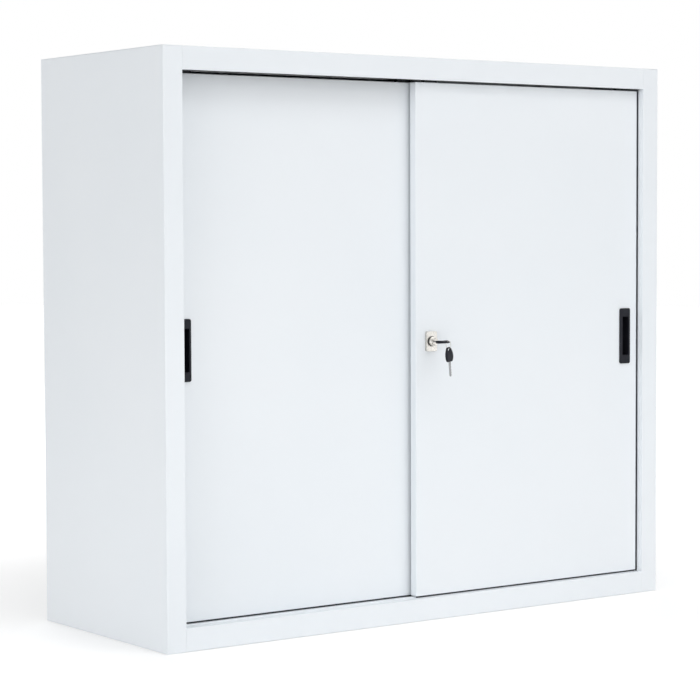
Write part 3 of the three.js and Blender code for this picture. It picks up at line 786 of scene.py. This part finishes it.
first_upright = upright()
for hand, end in (("right", "rear"), ("left", "front"), ("left", "rear")):
    node = f"shelf_upright_{hand}_{end}"
    back_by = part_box(node)[0].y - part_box("shelf_upright_right_front")[0].y
    twin = copied(first_upright, f"{node}_sheet", move=(0, back_by, 0), mirrored=hand == "left")
    dress(twin, node)

# %% [markdown]
# Sill rails and painted-shade strips
#
# The rollers of each door run on a flat rib welded along the deck and painted with it. A black
# nylon strip under each door's front edge is painted shade: it draws the dark line that is seen
# below the doors. Both are long bars: a block each, with the edges that show rounded.

# %% Sill rails and painted-shade strips
RIB_ROUND = 0.6 * MM
SHADE_STRIP_HIGH = 2.6 * MM
SHADE_STRIP_DEEP = 2.6 * MM
SHADE_STRIP_ROUND = 0.7 * MM
SHADE_STRIP_INSET = 2 * MM


def long_bar(name, low, high, radius, *edges):
    piece = cube(name, low, high)
    round_edges(radius, EDGE_STEPS, *edges)
    soften(piece, TURNED_UNDER)
    return piece


def sill_rail(node):
    low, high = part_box(node)
    edges = [at(x=(low.x, high.x), y=y, z=high.z) for y in (low.y, high.y)]
    return dress(long_bar(f"{node}_rib", low, high, RIB_ROUND, *edges), node)


# A black nylon strip under a door's front edge: painted shade for the dark gap below the door.
def painted_shade_strip(door):
    low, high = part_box(f"{door}_panel")
    front = low.y + BEND
    foot = low.z - SHADE_STRIP_HIGH
    start = Vector((low.x + SHADE_STRIP_INSET, front, foot))
    end = Vector((high.x - SHADE_STRIP_INSET, front + SHADE_STRIP_DEEP, low.z))
    edges = [at(x=(start.x, end.x), y=y, z=foot) for y in (start.y, end.y)]
    piece = long_bar(f"{door}_painted_shade_strip", start, end, SHADE_STRIP_ROUND, *edges)
    return dress(piece, f"{door}_panel", replaces=False, finish="black_nylon")


for line in ("front", "rear"):
    sill_rail(f"sill_rail_{line}")
for door in ("right_door", "left_door"):
    painted_shade_strip(door)

# %% [markdown]
# Small fittings
#
# Track, guides, stops, brackets, clips and the lock's cam already have their true shape in the
# frame, but with knife edges. A press or a mould leaves every edge a little round, and that is
# what catches the light. So each takes a copy of its own solid, with the triangles merged into
# whole faces again, and a fine bevel broken along every edge.

# %% Small fittings with their edges broken
FLAT_WITHIN = math.radians(1)
EDGE_BREAKS = {"zinc_plated_steel": 0.3 * MM, "black_nylon": 0.45 * MM}


def eased(node):
    piece = bpy.data.objects.new(f"{node}_eased", frame["nodes"][node].data.copy())
    bpy.context.collection.objects.link(piece)
    edit(piece)
    bpy.ops.mesh.select_all(action="SELECT")
    bpy.ops.mesh.remove_doubles(threshold=TOUCHING)
    bpy.ops.mesh.dissolve_limited(angle_limit=FLAT_WITHIN)
    bevel(piece, EDGE_BREAKS[slot_of[node]], FINE_STEPS)
    soften(piece)
    return dress(piece, node)


FITTINGS = "clip stop guide track bracket stiffener lock_nut lock_cam strike".split()
for node in sorted(slot_of):
    if any(kind in node for kind in FITTINGS):
        eased(node)

# %% [markdown]
# Flush pulls
#
# Each pull is one black moulding pressed into the door: a plate with soft corners, and a cup for
# the fingertips, nearer one edge of the plate. It is modelled as its own skin, the cup pushed in
# and the rim turned back, and given a moulder's wall thickness. The second pull is a copy of the
# first.

# %% Pulls
PULL_PLATE = 2 * MM
PULL_WALL = 1.5 * MM
PULL_CORNER = 4 * MM
CUP_CORNER = 3 * MM
CUP_MOUTH = (17 * MM, 80 * MM)
PULL_EDGE = 0.7 * MM


def flush_pull():
    node = "right_door_pull"
    low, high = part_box(node)
    middle = (low + high) / 2
    floor_y = high.y - PULL_WALL
    mouth_x = about(middle.x + CUP_SHIFT, CUP_MOUTH[0] / 2)
    mouth_z = about(middle.z, CUP_MOUTH[1] / 2)
    piece = plane(f"{node}_moulding", (low.x, low.y, low.z), (high.x, low.y, high.z))
    slice_at(0, *mouth_x)
    slice_at(2, *mouth_z)
    pick("FACE", at(x=mouth_x, z=mouth_z))
    bpy.ops.mesh.extrude_region_move(TRANSFORM_OT_translate={"value": (0, floor_y - low.y, 0)})
    fold_rim((0, PULL_PLATE, 0), at(x=low.x), at(x=high.x), at(z=low.z), at(z=high.z))
    plate = corners((low.x, high.x), (low.z, high.z), y=(low.y, low.y + PULL_PLATE))
    round_edges(PULL_CORNER, CORNER_STEPS, *plate)
    cup = corners(mouth_x, mouth_z, y=(low.y, floor_y))
    round_edges(CUP_CORNER, CORNER_STEPS, *cup)
    press(piece, (0, -1, 0), bend=PULL_EDGE, thickness=PULL_WALL)
    return dress(piece, node)


right_pull = flush_pull()
to_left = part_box("left_door_pull")[0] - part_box("right_door_pull")[0]
dress(copied(right_pull, "left_door_pull_moulding", move=to_left), "left_door_pull")

# %% [markdown]
# Turned pieces
#
# The lock's barrel, the rollers and the axles are made on a lathe, and can be made the same way
# here: half a section is drawn as a chain of points, each a radius and a place along the axis, and
# spun round. A chamfer or a rounded flange is then just one more point in the chain.

# %% Spin a section
TURN_STEPS = 56
SMALL_STEPS = 32
RIVET_STEPS = 24
pivots = {
    joint["name"]: Vector(joint["pos_m"])
    for joint in frame["record"]["behaviour"]["joints"]
    if "pos_m" in joint
}


def turned(name, middle, section, axis=1, steps=TURN_STEPS):
    """Spin a chain of points, each a radius and a place along the axis in millimetres."""
    outward = AXES[2]
    points = [middle + (outward * radius + AXES[axis] * along) * MM for radius, along in section]
    bpy.ops.object.select_all(action="DESELECT")
    bpy.ops.mesh.primitive_plane_add(size=MM, location=points[0])
    piece = settle(named(name))
    edit(piece)
    bpy.ops.mesh.select_mode(type="VERT")
    bpy.ops.mesh.select_all(action="SELECT")
    bpy.ops.mesh.merge(type="CENTER")
    for before, after in zip(points, points[1:]):
        bpy.ops.mesh.extrude_vertices_move(TRANSFORM_OT_translate={"value": after - before})
    bpy.ops.mesh.select_all(action="SELECT")
    bpy.ops.mesh.spin(steps=steps, angle=math.tau, center=middle, axis=AXES[axis])
    bpy.ops.mesh.select_all(action="SELECT")
    bpy.ops.mesh.remove_doubles(threshold=TOUCHING)
    bpy.ops.mesh.normals_make_consistent(inside=False)
    take(piece)
    return piece


def both_ways(section):
    """A section and its mirror image, read back to front."""
    return section + [(radius, -along) for radius, along in reversed(section)]


print("pivots known:", ", ".join(sorted(pivots)))

# %% Rivets of the back panel
RIVET = [(0, 1.3), (1.2, 1.25), (2.3, 0.9), (3, 0.35), (3.1, 0), (3.1, -0.4), (0, -0.4)]
RIVET_PITCH = 90 * MM
RIVET_INSET = 7.5 * MM
RIVET_DROP = 10.5 * MM
FIRST_RIVET = 52 * MM


def rivets(name, start, step, count):
    piece = turned(name, start, RIVET, steps=RIVET_STEPS)
    repeat(piece, step, count)
    soften(piece, TURNED_UNDER)
    return dress(piece, "back_panel", replaces=False)


rear_face = side_high.y
upward = int((side_high.z - FIRST_RIVET) / RIVET_PITCH)
for side, hand in (("left", -1), ("right", 1)):
    start = Vector((hand * (side_high.x - RIVET_INSET), rear_face, FIRST_RIVET))
    rivets(f"back_rivets_{side}", start, (0, 0, RIVET_PITCH), upward + 1)
across = int(rear_half / RIVET_PITCH)
start = Vector((-across * RIVET_PITCH, rear_face, top_high.z - RIVET_DROP))
rivets("back_rivets_top", start, (RIVET_PITCH, 0, 0), 2 * across + 1)

# %% Rollers and their axles
ROLLER_HUB = [(2.3, -3.7), (2.6, -4), (4.7, -4), (5, -3.7), (5, -3)]
ROLLER_RIM = [(7.5, -3), (7.7, -3.7), (8, -4)]
ROLLER_GROOVE = [(10, -4), (10.4, -3.6), (10.4, -2.8), (10.2, -2.5), (9.2, -2.1), (9, -1.9)]
AXLE_HEAD = [(0, -7.1), (1.9, -7), (2.9, -6.7), (3.4, -6.2), (3.4, -6.1), (2, -6.1)]

roller_section = both_ways(ROLLER_HUB + ROLLER_RIM + ROLLER_GROOVE)
roller_section.append(roller_section[0])
first_pivot = pivots["right_door_roller_left_spin"]
first_roller = turned("roller_turning", first_pivot, roller_section)
first_axle = turned("axle_turning", first_pivot, both_ways(AXLE_HEAD), steps=SMALL_STEPS)
for piece in (first_roller, first_axle):
    soften(piece, TURNED_UNDER)


def mount_roller(door, end):
    node = f"{door}_roller_{end}"
    axle = f"{door}_axle_{end}"
    move = pivots[f"{node}_spin"] - first_pivot
    dress(copied(first_roller, f"{node}_turned", move=move), node)
    dress(copied(first_axle, f"{axle}_turned", move=move), axle)


for door in ("right_door", "left_door"):
    for end in ("left", "right"):
        mount_roller(door, end)
for piece in (first_roller, first_axle):
    bpy.data.meshes.remove(piece.data)

# %% [markdown]
# The lock
#
# A cam lock sits in a rectangular plate near the meeting edge of the front door. The plate is a
# casting with rounded corners and a bevelled face. The barrel's head is turned with a wide chamfer
# and stands in a black ring, painted shade round its foot, and the plug inside it is slotted for
# the key. Behind the door, the plug's square tail carries the cam, held by one flat screw.

# %% Lock plate
PLATE_CORNER = 3 * MM
PLATE_BEVEL = 0.8 * MM
BARREL_HOLE = 8.3
OVERRUN = 1

lock = pivots["lock_turn"]
lock_axis = Vector((lock.x, 0, lock.z))


def rod(name, radius, front, back, middle=lock_axis):
    """A plain round cutter along Y."""
    return turned(name, middle, [(0, front), (radius, front), (radius, back), (0, back)])


def lock_plate():
    low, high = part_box("lock_escutcheon")
    piece = cube("lock_plate", low, high)
    round_edges(PLATE_CORNER, CORNER_STEPS, *corners((low.x, high.x), (low.z, high.z)))
    round_edges(PLATE_BEVEL, EDGE_STEPS, at(y=low.y))
    take(piece)
    front, back = low.y / MM, high.y / MM
    subtract(piece, rod("barrel_cutter", BARREL_HOLE, front - OVERRUN, back + OVERRUN))
    soften(piece)
    return dress(piece, "lock_escutcheon")


lock_plate()

# %% Barrel and plug
BARREL_BORE = 6.3
BARREL_BODY = 8
BORE_MOUTH = [(0, 0.7), (0.5, 0.2), (0.9, 0)]
HEAD_RADIUS = 9.3
HEAD_DEPTH = 8
HEAD_CHAMFER = 1.1
EDGE = 0.3
SEAT_EDGE = 0.2
BODY_EDGE = 0.5
KEYWAY = (6.4 * MM, 19 * MM, 2.4 * MM)
PLUG_RADIUS = 6
PLUG_CHAMFER = (0.5, 0.4)
TAIL = 6 * MM
TAIL_START = 4 * MM
TAIL_ROUND = 0.5 * MM
SHADE_RING_RADIUS = 9.9
SHADE_RING_DEPTH = 2.4
SHADE_RING_PLAY = 0.05


def barrel():
    low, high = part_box("lock_barrel")
    front, back = low.y / MM, high.y / MM
    seat = front + HEAD_DEPTH
    section = [(BARREL_BORE + wider, front + deeper) for wider, deeper in BORE_MOUTH]
    section += [
        (HEAD_RADIUS - HEAD_CHAMFER, front),
        (HEAD_RADIUS - EDGE, front + 2 * EDGE),
        (HEAD_RADIUS, front + HEAD_CHAMFER),
        (HEAD_RADIUS, seat - SEAT_EDGE),
        (HEAD_RADIUS - SEAT_EDGE, seat),
        (BARREL_BODY, seat),
        (BARREL_BODY, back - BODY_EDGE),
        (BARREL_BODY - BODY_EDGE, back),
        (BARREL_BORE, back),
        section[0],
    ]
    piece = turned("lock_barrel_turned", lock_axis, section)
    soften(piece, TURNED_UNDER)
    return dress(piece, "lock_barrel")


def plug():
    low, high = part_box("lock_plug")
    front = low.y / MM
    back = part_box("lock_barrel")[1].y / MM
    inward, deeper = PLUG_CHAMFER
    section = [
        (0, front),
        (PLUG_RADIUS - inward, front),
        (PLUG_RADIUS, front + deeper),
        (PLUG_RADIUS, back - EDGE),
        (PLUG_RADIUS - EDGE, back),
        (0, back),
    ]
    piece = turned("lock_plug_turned", lock_axis, section)
    half = Vector((TAIL / 2, 0, TAIL / 2))
    reach = Vector((0, back * MM - TAIL_START, 0))
    tail = cube("plug_tail", lock_axis + reach - half, lock_axis + Vector((0, high.y, 0)) + half)
    round_edges(TAIL_ROUND, FINE_STEPS, at(y=high.y))
    combine(piece, tail, "UNION")
    wide, deep, tall = KEYWAY
    corner = Vector((wide / 2, 0, tall / 2))
    mouth = lock_axis + Vector((0, low.y - MM, 0))
    keyway = cube("keyway_cutter", mouth - corner, mouth + corner + Vector((0, deep + MM, 0)))
    subtract(piece, keyway)
    soften(piece, TURNED_UNDER)
    return dress(piece, "lock_plug")


def painted_shade_ring():
    """A black ring round the head's foot on the plate: painted shade for the dark crescent there.
    """
    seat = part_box("lock_escutcheon")[0].y / MM
    section = [
        (HEAD_RADIUS + SHADE_RING_PLAY, seat),
        (HEAD_RADIUS + SHADE_RING_PLAY, seat - SHADE_RING_DEPTH),
        (SHADE_RING_RADIUS - EDGE, seat - SHADE_RING_DEPTH),
        (SHADE_RING_RADIUS, seat - SHADE_RING_DEPTH + EDGE),
        (SHADE_RING_RADIUS, seat),
        (HEAD_RADIUS + SHADE_RING_PLAY, seat),
    ]
    piece = turned("lock_painted_shade_ring", lock_axis, section)
    soften(piece, TURNED_UNDER)
    return dress(piece, "lock_barrel", replaces=False, finish="black_nylon")


barrel()
plug()
painted_shade_ring()

# %% Screw that holds the cam
SCREW_RADIUS = 3.8
SCREW_HEAD = 0.25
CROSS = (2.1 * MM, 0.45 * MM)
CROSS_DEPTH = 0.15 * MM


def cam_screw():
    """A flat screw head: the other door's pull passes close behind it."""
    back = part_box("lock_cam")[1].y / MM
    section = [
        (0, back),
        (SCREW_RADIUS, back),
        (SCREW_RADIUS, back + SCREW_HEAD / 2),
        (SCREW_RADIUS - SCREW_HEAD / 2, back + SCREW_HEAD),
        (0, back + SCREW_HEAD),
    ]
    piece = turned("cam_screw", lock_axis, section, steps=SMALL_STEPS)
    middle = lock_axis + Vector((0, (back + SCREW_HEAD) * MM, 0))
    for wide, high in (CROSS, CROSS[::-1]):
        half = Vector((wide, CROSS_DEPTH, high))
        subtract(piece, cube("cross_slot_cutter", middle - half, middle + half))
    soften(piece, TURNED_UNDER)
    return dress(piece, "lock_cam", replaces=False)


cam_screw()

# %% [markdown]
# Keys
#
# Both keys are the same: a stamped blade with a milled groove and bites along one edge, moulded
# into a black bow. The bow is a block sliced into rows, and each row is drawn in to its width and
# thickness, so that it swells like a lens in the hand and thins to an eye for the ring. It is
# modelled once, pointing down with its ring hole at the origin, and copied to the lock and to the
# ring.

# %% Key bow
BOW_SHIFT = 1.4 * MM
BOW_TOP = 4.6 * MM
BOW_LENGTH = 28.4 * MM
BOW_HALF = 9.75 * MM
BOW_THICK = 5.9 * MM
BOW_ROUND = 0.5 * MM
BOW_ROWS = [
    # shares of the length, the width, the thickness and the sideways shift
    (0, 0.38, 0.32, -1),
    (0.04, 0.6, 0.37, -1),
    (0.1, 0.76, 0.37, -0.9),
    (0.19, 0.86, 0.4, -0.7),
    (0.3, 0.92, 0.66, -0.45),
    (0.42, 0.96, 0.94, -0.2),
    (0.6, 1, 1, 0),
    (0.82, 0.97, 0.82, 0),
    (0.96, 0.86, 0.52, 0),
    (1, 0.74, 0.42, 0),
]
GRIP_ROWS = (5, 8)
GRIP_FROM = 1 * MM
GRIP_MARGIN = 1.7 * MM
GRIP_SUNK = 0.35 * MM
EYE_RADIUS = 3.1
EYE_REACH = 4
BLADE_HALF = 2.8 * MM
BLADE_THICK = 1.8 * MM
TANG = 7 * MM
SLOT_ROOM = 0.3 * MM
bow_foot = BOW_TOP - BOW_LENGTH


def key_bow():
    half = Vector((BOW_HALF, BOW_THICK / 2, 0))
    foot = Vector((BOW_SHIFT, 0, bow_foot))
    top = Vector((BOW_SHIFT, 0, BOW_TOP))
    piece = cube("bow_moulding", foot - half, top + half)
    heights = [BOW_TOP - row[0] * BOW_LENGTH for row in BOW_ROWS]
    slice_at(2, *heights[1:-1])
    for height, row in zip(heights, BOW_ROWS):
        wide, thick, aside = row[1:]
        pick("VERT", at(z=height))
        bpy.ops.transform.resize(value=(wide, thick, 1), center_override=(BOW_SHIFT, 0, height))
        bpy.ops.transform.translate(value=(aside * BOW_SHIFT, 0, 0))
    grip = tuple(heights[row] for row in GRIP_ROWS)
    for face in (1, -1):
        pick("FACE", at(y=(face * GRIP_FROM, face * BOW_THICK), z=grip))
        bpy.ops.mesh.inset(thickness=GRIP_MARGIN, depth=-GRIP_SUNK)
    take(piece)
    subtract(piece, rod("eye_cutter", EYE_RADIUS, -EYE_REACH, EYE_REACH, middle=Vector()))
    room = Vector((BLADE_HALF + SLOT_ROOM, BLADE_THICK / 2 + SLOT_ROOM, 0))
    below = foot - room - Vector((0, 0, MM))
    subtract(piece, cube("tang_cutter", below, foot + room + Vector((0, 0, TANG + SLOT_ROOM))))
    bevel(piece, BOW_ROUND, EDGE_STEPS)
    soften(piece)
    return piece


bow = key_bow()
print("bow", [round(side / MM, 1) for side in bow.dimensions], "mm")

# %% Key blade
REACH = 29 * MM
BITE_PITCH = 5.2 * MM
BITE_HALF = 1.6 * MM
BITE_DEPTHS = (1.4 * MM, 0.8 * MM, 1.2 * MM, 0.6 * MM)
MILLED = (BOW_SHIFT - 1.1 * MM, BOW_SHIFT + 0.5 * MM)
MILLED_DEPTH = 0.35 * MM
TIP_SHARE = 0.15
BLADE_ROUND = 0.12 * MM
tip = bow_foot - REACH


def key_blade():
    side = BLADE_THICK / 2
    edge = BOW_SHIFT + BLADE_HALF
    shoulder = tip + BLADE_HALF
    corner = (BOW_SHIFT - BLADE_HALF, -side, tip)
    piece = cube("blade_stamping", corner, (edge, side, bow_foot + TANG))
    slice_at(0, *MILLED)
    slice_at(2, shoulder, bow_foot)
    for index, depth in enumerate(BITE_DEPTHS):
        middle = shoulder + (index + 0.5) * BITE_PITCH
        slice_at(2, middle - BITE_HALF, *about(middle, BITE_HALF / 4), middle + BITE_HALF)
        pick("VERT", at(x=edge, z=about(middle, BITE_HALF / 2)))
        bpy.ops.transform.translate(value=(-depth, 0, 0))
    for face in (1, -1):
        inward = {"value": (0, -face * MILLED_DEPTH, 0)}
        pick("FACE", at(x=MILLED, y=face * side, z=(shoulder, bow_foot)))
        bpy.ops.mesh.extrude_region_move(TRANSFORM_OT_translate=inward)
    pick("VERT", at(z=tip))
    bpy.ops.transform.resize(value=(TIP_SHARE, 1, 1), center_override=(BOW_SHIFT, 0, tip))
    bevel(piece, BLADE_ROUND, FINE_STEPS)
    soften(piece)
    return piece


blade = key_blade()
print("blade", [round(side / MM, 1) for side in blade.dimensions], "mm")

# %% Put the keys in their places
SPARE_LEAN = math.radians(6.4)
SPARE_TURN = math.radians(18)
EYE_DROP = 1.6 * MM


def place(piece, name, matrix, node):
    twin = copied(piece, name)
    twin.matrix_world = matrix
    settle(twin)
    return dress(twin, node)


eye = Vector((lock.x + BOW_SHIFT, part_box("key_bow")[0].y + BOW_TOP, lock.z))
lying = Matrix.Translation(eye) @ Matrix.Rotation(math.pi / 2, 4, "X")
in_lock = lying @ Matrix.Rotation(math.pi, 4, "Z")
hung = Matrix.Rotation(SPARE_TURN, 4, "Z") @ Matrix.Rotation(-SPARE_LEAN, 4, "Y")
drop = Matrix.Translation((0, 0, -EYE_DROP))
on_ring = Matrix.Translation(pivots["spare_key_swing"]) @ hung @ drop
for matrix, key in ((in_lock, "key"), (on_ring, "spare_key")):
    place(bow, f"{key}_bow_moulding", matrix, f"{key}_bow")
    stamping = place(blade, f"{key}_blade_stamping", matrix, f"{key}_blade")
    # The blades take the nickel that is painted darker, as painted shade.
    stamping.data.materials[0] = materials["worn_nickel_with_painted_shade"]
for piece in (bow, blade):
    bpy.data.meshes.remove(piece.data)

# %% [markdown]
# Split ring
#
# The keys hang together on a split ring: flat wire wound almost twice round, so that a key can be
# threaded on. A closed ring would do from afar. The Screw modifier winds a small rounded rectangle
# instead, about an axis through the object's origin, so the ring is wound there and then moved.

# %% Split ring
RING_RADIUS = 7.5 * MM
WIRE = (0.38 * MM, 1.1 * MM)
WIRE_PITCH = 0.41 * MM
WIRE_TURNS = 1.95
WIRE_ROUND = 0.12 * MM
WIRE_STEPS = 140


def split_ring():
    thin, tall = WIRE
    left = -WIRE_PITCH * WIRE_TURNS / 2 - thin / 2
    inner, outer = about(RING_RADIUS, tall / 2)
    piece = plane("key_ring_wound", (left, 0, inner), (left + thin, 0, outer))
    bpy.ops.mesh.select_all(action="SELECT")
    bpy.ops.mesh.bevel(offset=WIRE_ROUND, segments=FINE_STEPS, affect="VERTICES")
    modify(
        piece,
        "SCREW",
        axis="X",
        angle=WIRE_TURNS * math.tau,
        screw_offset=WIRE_PITCH * WIRE_TURNS,
        steps=WIRE_STEPS,
        render_steps=WIRE_STEPS,
        use_merge_vertices=False,
    )
    edit(piece)
    bpy.ops.mesh.select_all(action="SELECT")
    bpy.ops.mesh.remove_doubles(threshold=TOUCHING)
    bpy.ops.mesh.fill_holes(sides=0)
    bpy.ops.mesh.normals_make_consistent(inside=False)
    take(piece)
    piece.location = pivots["key_ring_swing"]
    settle(piece)
    soften(piece, TURNED_UNDER)
    return dress(piece, "key_ring")


split_ring()

# %% [markdown]
# Camera
#
# The view is that of the product photograph: from the front left, at three degrees above level,
# with a long lens from some way off. The three angles and the distance come from the cabinet's own
# corners.

# %% Camera
CAMERA_PLACE = Vector((-2.719318, -3.70467, 0.770328))
CAMERA_TURN = math.radians(-35.984)
CAMERA_RISE = math.radians(3.149)
CAMERA_ROLL = math.radians(-0.212)
CAMERA_LENS = 117.37
SENSOR = 36
NEAREST_SEEN = 0.05


def photo_camera():
    bpy.ops.object.select_all(action="DESELECT")
    bpy.ops.object.camera_add(location=CAMERA_PLACE)
    camera = bpy.context.object
    level = math.cos(CAMERA_RISE)
    leftward, nearer = math.sin(CAMERA_TURN) * level, -math.cos(CAMERA_TURN) * level
    backward = Vector((leftward, nearer, math.sin(CAMERA_RISE)))
    right = AXES[2].cross(backward).normalized()
    up = backward.cross(right)
    turned_right = math.cos(CAMERA_ROLL) * right + math.sin(CAMERA_ROLL) * up
    turned_up = math.cos(CAMERA_ROLL) * up - math.sin(CAMERA_ROLL) * right
    turn = Matrix((turned_right, turned_up, backward)).transposed()
    camera.rotation_euler = turn.to_euler()
    camera.data.lens = CAMERA_LENS
    camera.data.sensor_width = SENSOR
    camera.data.clip_start = NEAREST_SEEN
    bpy.context.scene.camera = camera
    return camera


print("camera at", [round(value, 3) for value in photo_camera().location])

# %% [markdown]
# Light and floor
#
# White steel on a white ground has nothing but soft shading to show its form. Three wide lamps
# above and in front light the doors and leave the shade under the top rail. Two of them stand to
# the right, so that the front door shades the rear one beside its edge. A fill from the left keeps
# the side a little darker than the front, and one behind lights the back. Two long low lamps stand
# for the light that a pale studio floor throws up. A pale sky does the rest. The floor keeps the
# cabinet's shadow and is lifted to white away from it, and the sky is white only to the camera and
# to what mirrors it.

# %% Sky and floor
SKY_STRENGTH = 0.45
WHITE = (1, 1, 1, 1)
FLOOR_COLOUR = (0.9, 0.9, 0.9, 1)
FLOOR_SIZE = 24
FLOOR_PLACE = (0, 4, -0.5 * MM)
FLOOR_LIFT = (0.2, 0.62)
LIFT_FROM = (0.6, 2)


def maths(tree, operation, first, second):
    node = tree.nodes.new("ShaderNodeMath")
    node.operation = operation
    tree.links.new(first, node.inputs[0])
    tree.links.new(second, node.inputs[1])
    return node.outputs[0]


def seen_or_mirrored(tree):
    """One where the ray comes from the camera or from a mirror-like surface."""
    ray = tree.nodes.new("ShaderNodeLightPath").outputs
    seen = maths(tree, "MAXIMUM", ray["Is Camera Ray"], ray["Is Glossy Ray"])
    return maths(tree, "MAXIMUM", seen, ray["Is Transmission Ray"])


def sky():
    world = bpy.data.worlds.new("studio_sky")
    bpy.context.scene.world = world
    world.use_nodes = True
    tree = world.node_tree
    lighting = tree.nodes["Background"]
    lighting.inputs["Color"].default_value = WHITE
    lighting.inputs["Strength"].default_value = SKY_STRENGTH
    seen = tree.nodes.new("ShaderNodeBackground")
    seen.inputs["Color"].default_value = WHITE
    mix = tree.nodes.new("ShaderNodeMixShader")
    tree.links.new(seen_or_mirrored(tree), mix.inputs["Fac"])
    tree.links.new(lighting.outputs[0], mix.inputs[1])
    tree.links.new(seen.outputs[0], mix.inputs[2])
    tree.links.new(mix.outputs[0], tree.nodes["World Output"].inputs["Surface"])


def floor():
    """A wide white floor, lifted to pure white away from the cabinet's shadow."""
    bpy.ops.object.select_all(action="DESELECT")
    bpy.ops.mesh.primitive_plane_add(size=FLOOR_SIZE, location=FLOOR_PLACE)
    ground = settle(named("studio_floor"))
    material, tree, shader = new_material("studio_floor", Roughness=0.9)
    shader.inputs["Base Color"].default_value = FLOOR_COLOUR
    shader.inputs["Emission Color"].default_value = WHITE
    place = tree.nodes.new("ShaderNodeTexCoord")
    away = tree.nodes.new("ShaderNodeVectorMath")
    away.operation = "LENGTH"
    tree.links.new(place.outputs["Object"], away.inputs[0])
    further = between(tree, away.outputs["Value"], *FLOOR_LIFT, span=LIFT_FROM)
    lift = maths(tree, "MULTIPLY", seen_or_mirrored(tree), further)
    tree.links.new(lift, shader.inputs["Emission Strength"])
    ground.data.materials.append(material)


bpy.context.scene.view_settings.view_transform = "Standard"
sky()
floor()
print("sky and floor ready")

# %% Lamps


def lamp(name, place, aim, size, power):
    bpy.ops.object.select_all(action="DESELECT")
    bpy.ops.object.light_add(type="AREA", location=place)
    light = bpy.context.object
    light.name = name
    light.data.shape = "RECTANGLE"
    light.data.size, light.data.size_y = size
    light.data.energy = power
    light.rotation_euler = (Vector(aim) - Vector(place)).to_track_quat("-Z", "Y").to_euler()
    return light


LAMPS = {
    # place, aim and size in metres, power in watts
    "high_lamp": ((1.2, -3.8, 4.6), (0, 0, 0.5), (4, 2.5), 38),
    "top_lamp": ((0, -2.2, 4.2), (0, -0.2, 0.5), (4, 1.2), 33),
    "front_lamp": ((2.4, -4.6, 3), (0, 0, 0.5), (5, 1.6), 19),
    "left_lamp": ((-5.5, -1.5, 1.7), (-0.6, 0, 0.9), (3, 1.2), 68),
    "back_lamp": ((1.5, 5, 3), (0, 0.2, 0.5), (3, 3), 70),
    "low_lamp": ((-0.1, -1.7, 0.15), (-0.1, 0, 0.1), (3, 0.25), 5.5),
    "low_left_lamp": ((-1.5, 0, 0.1), (-0.6, 0, 0.05), (1, 0.2), 0.7),
}
for name, settings in LAMPS.items():
    lamp(name, *settings)
print(len(LAMPS), "lamps set")
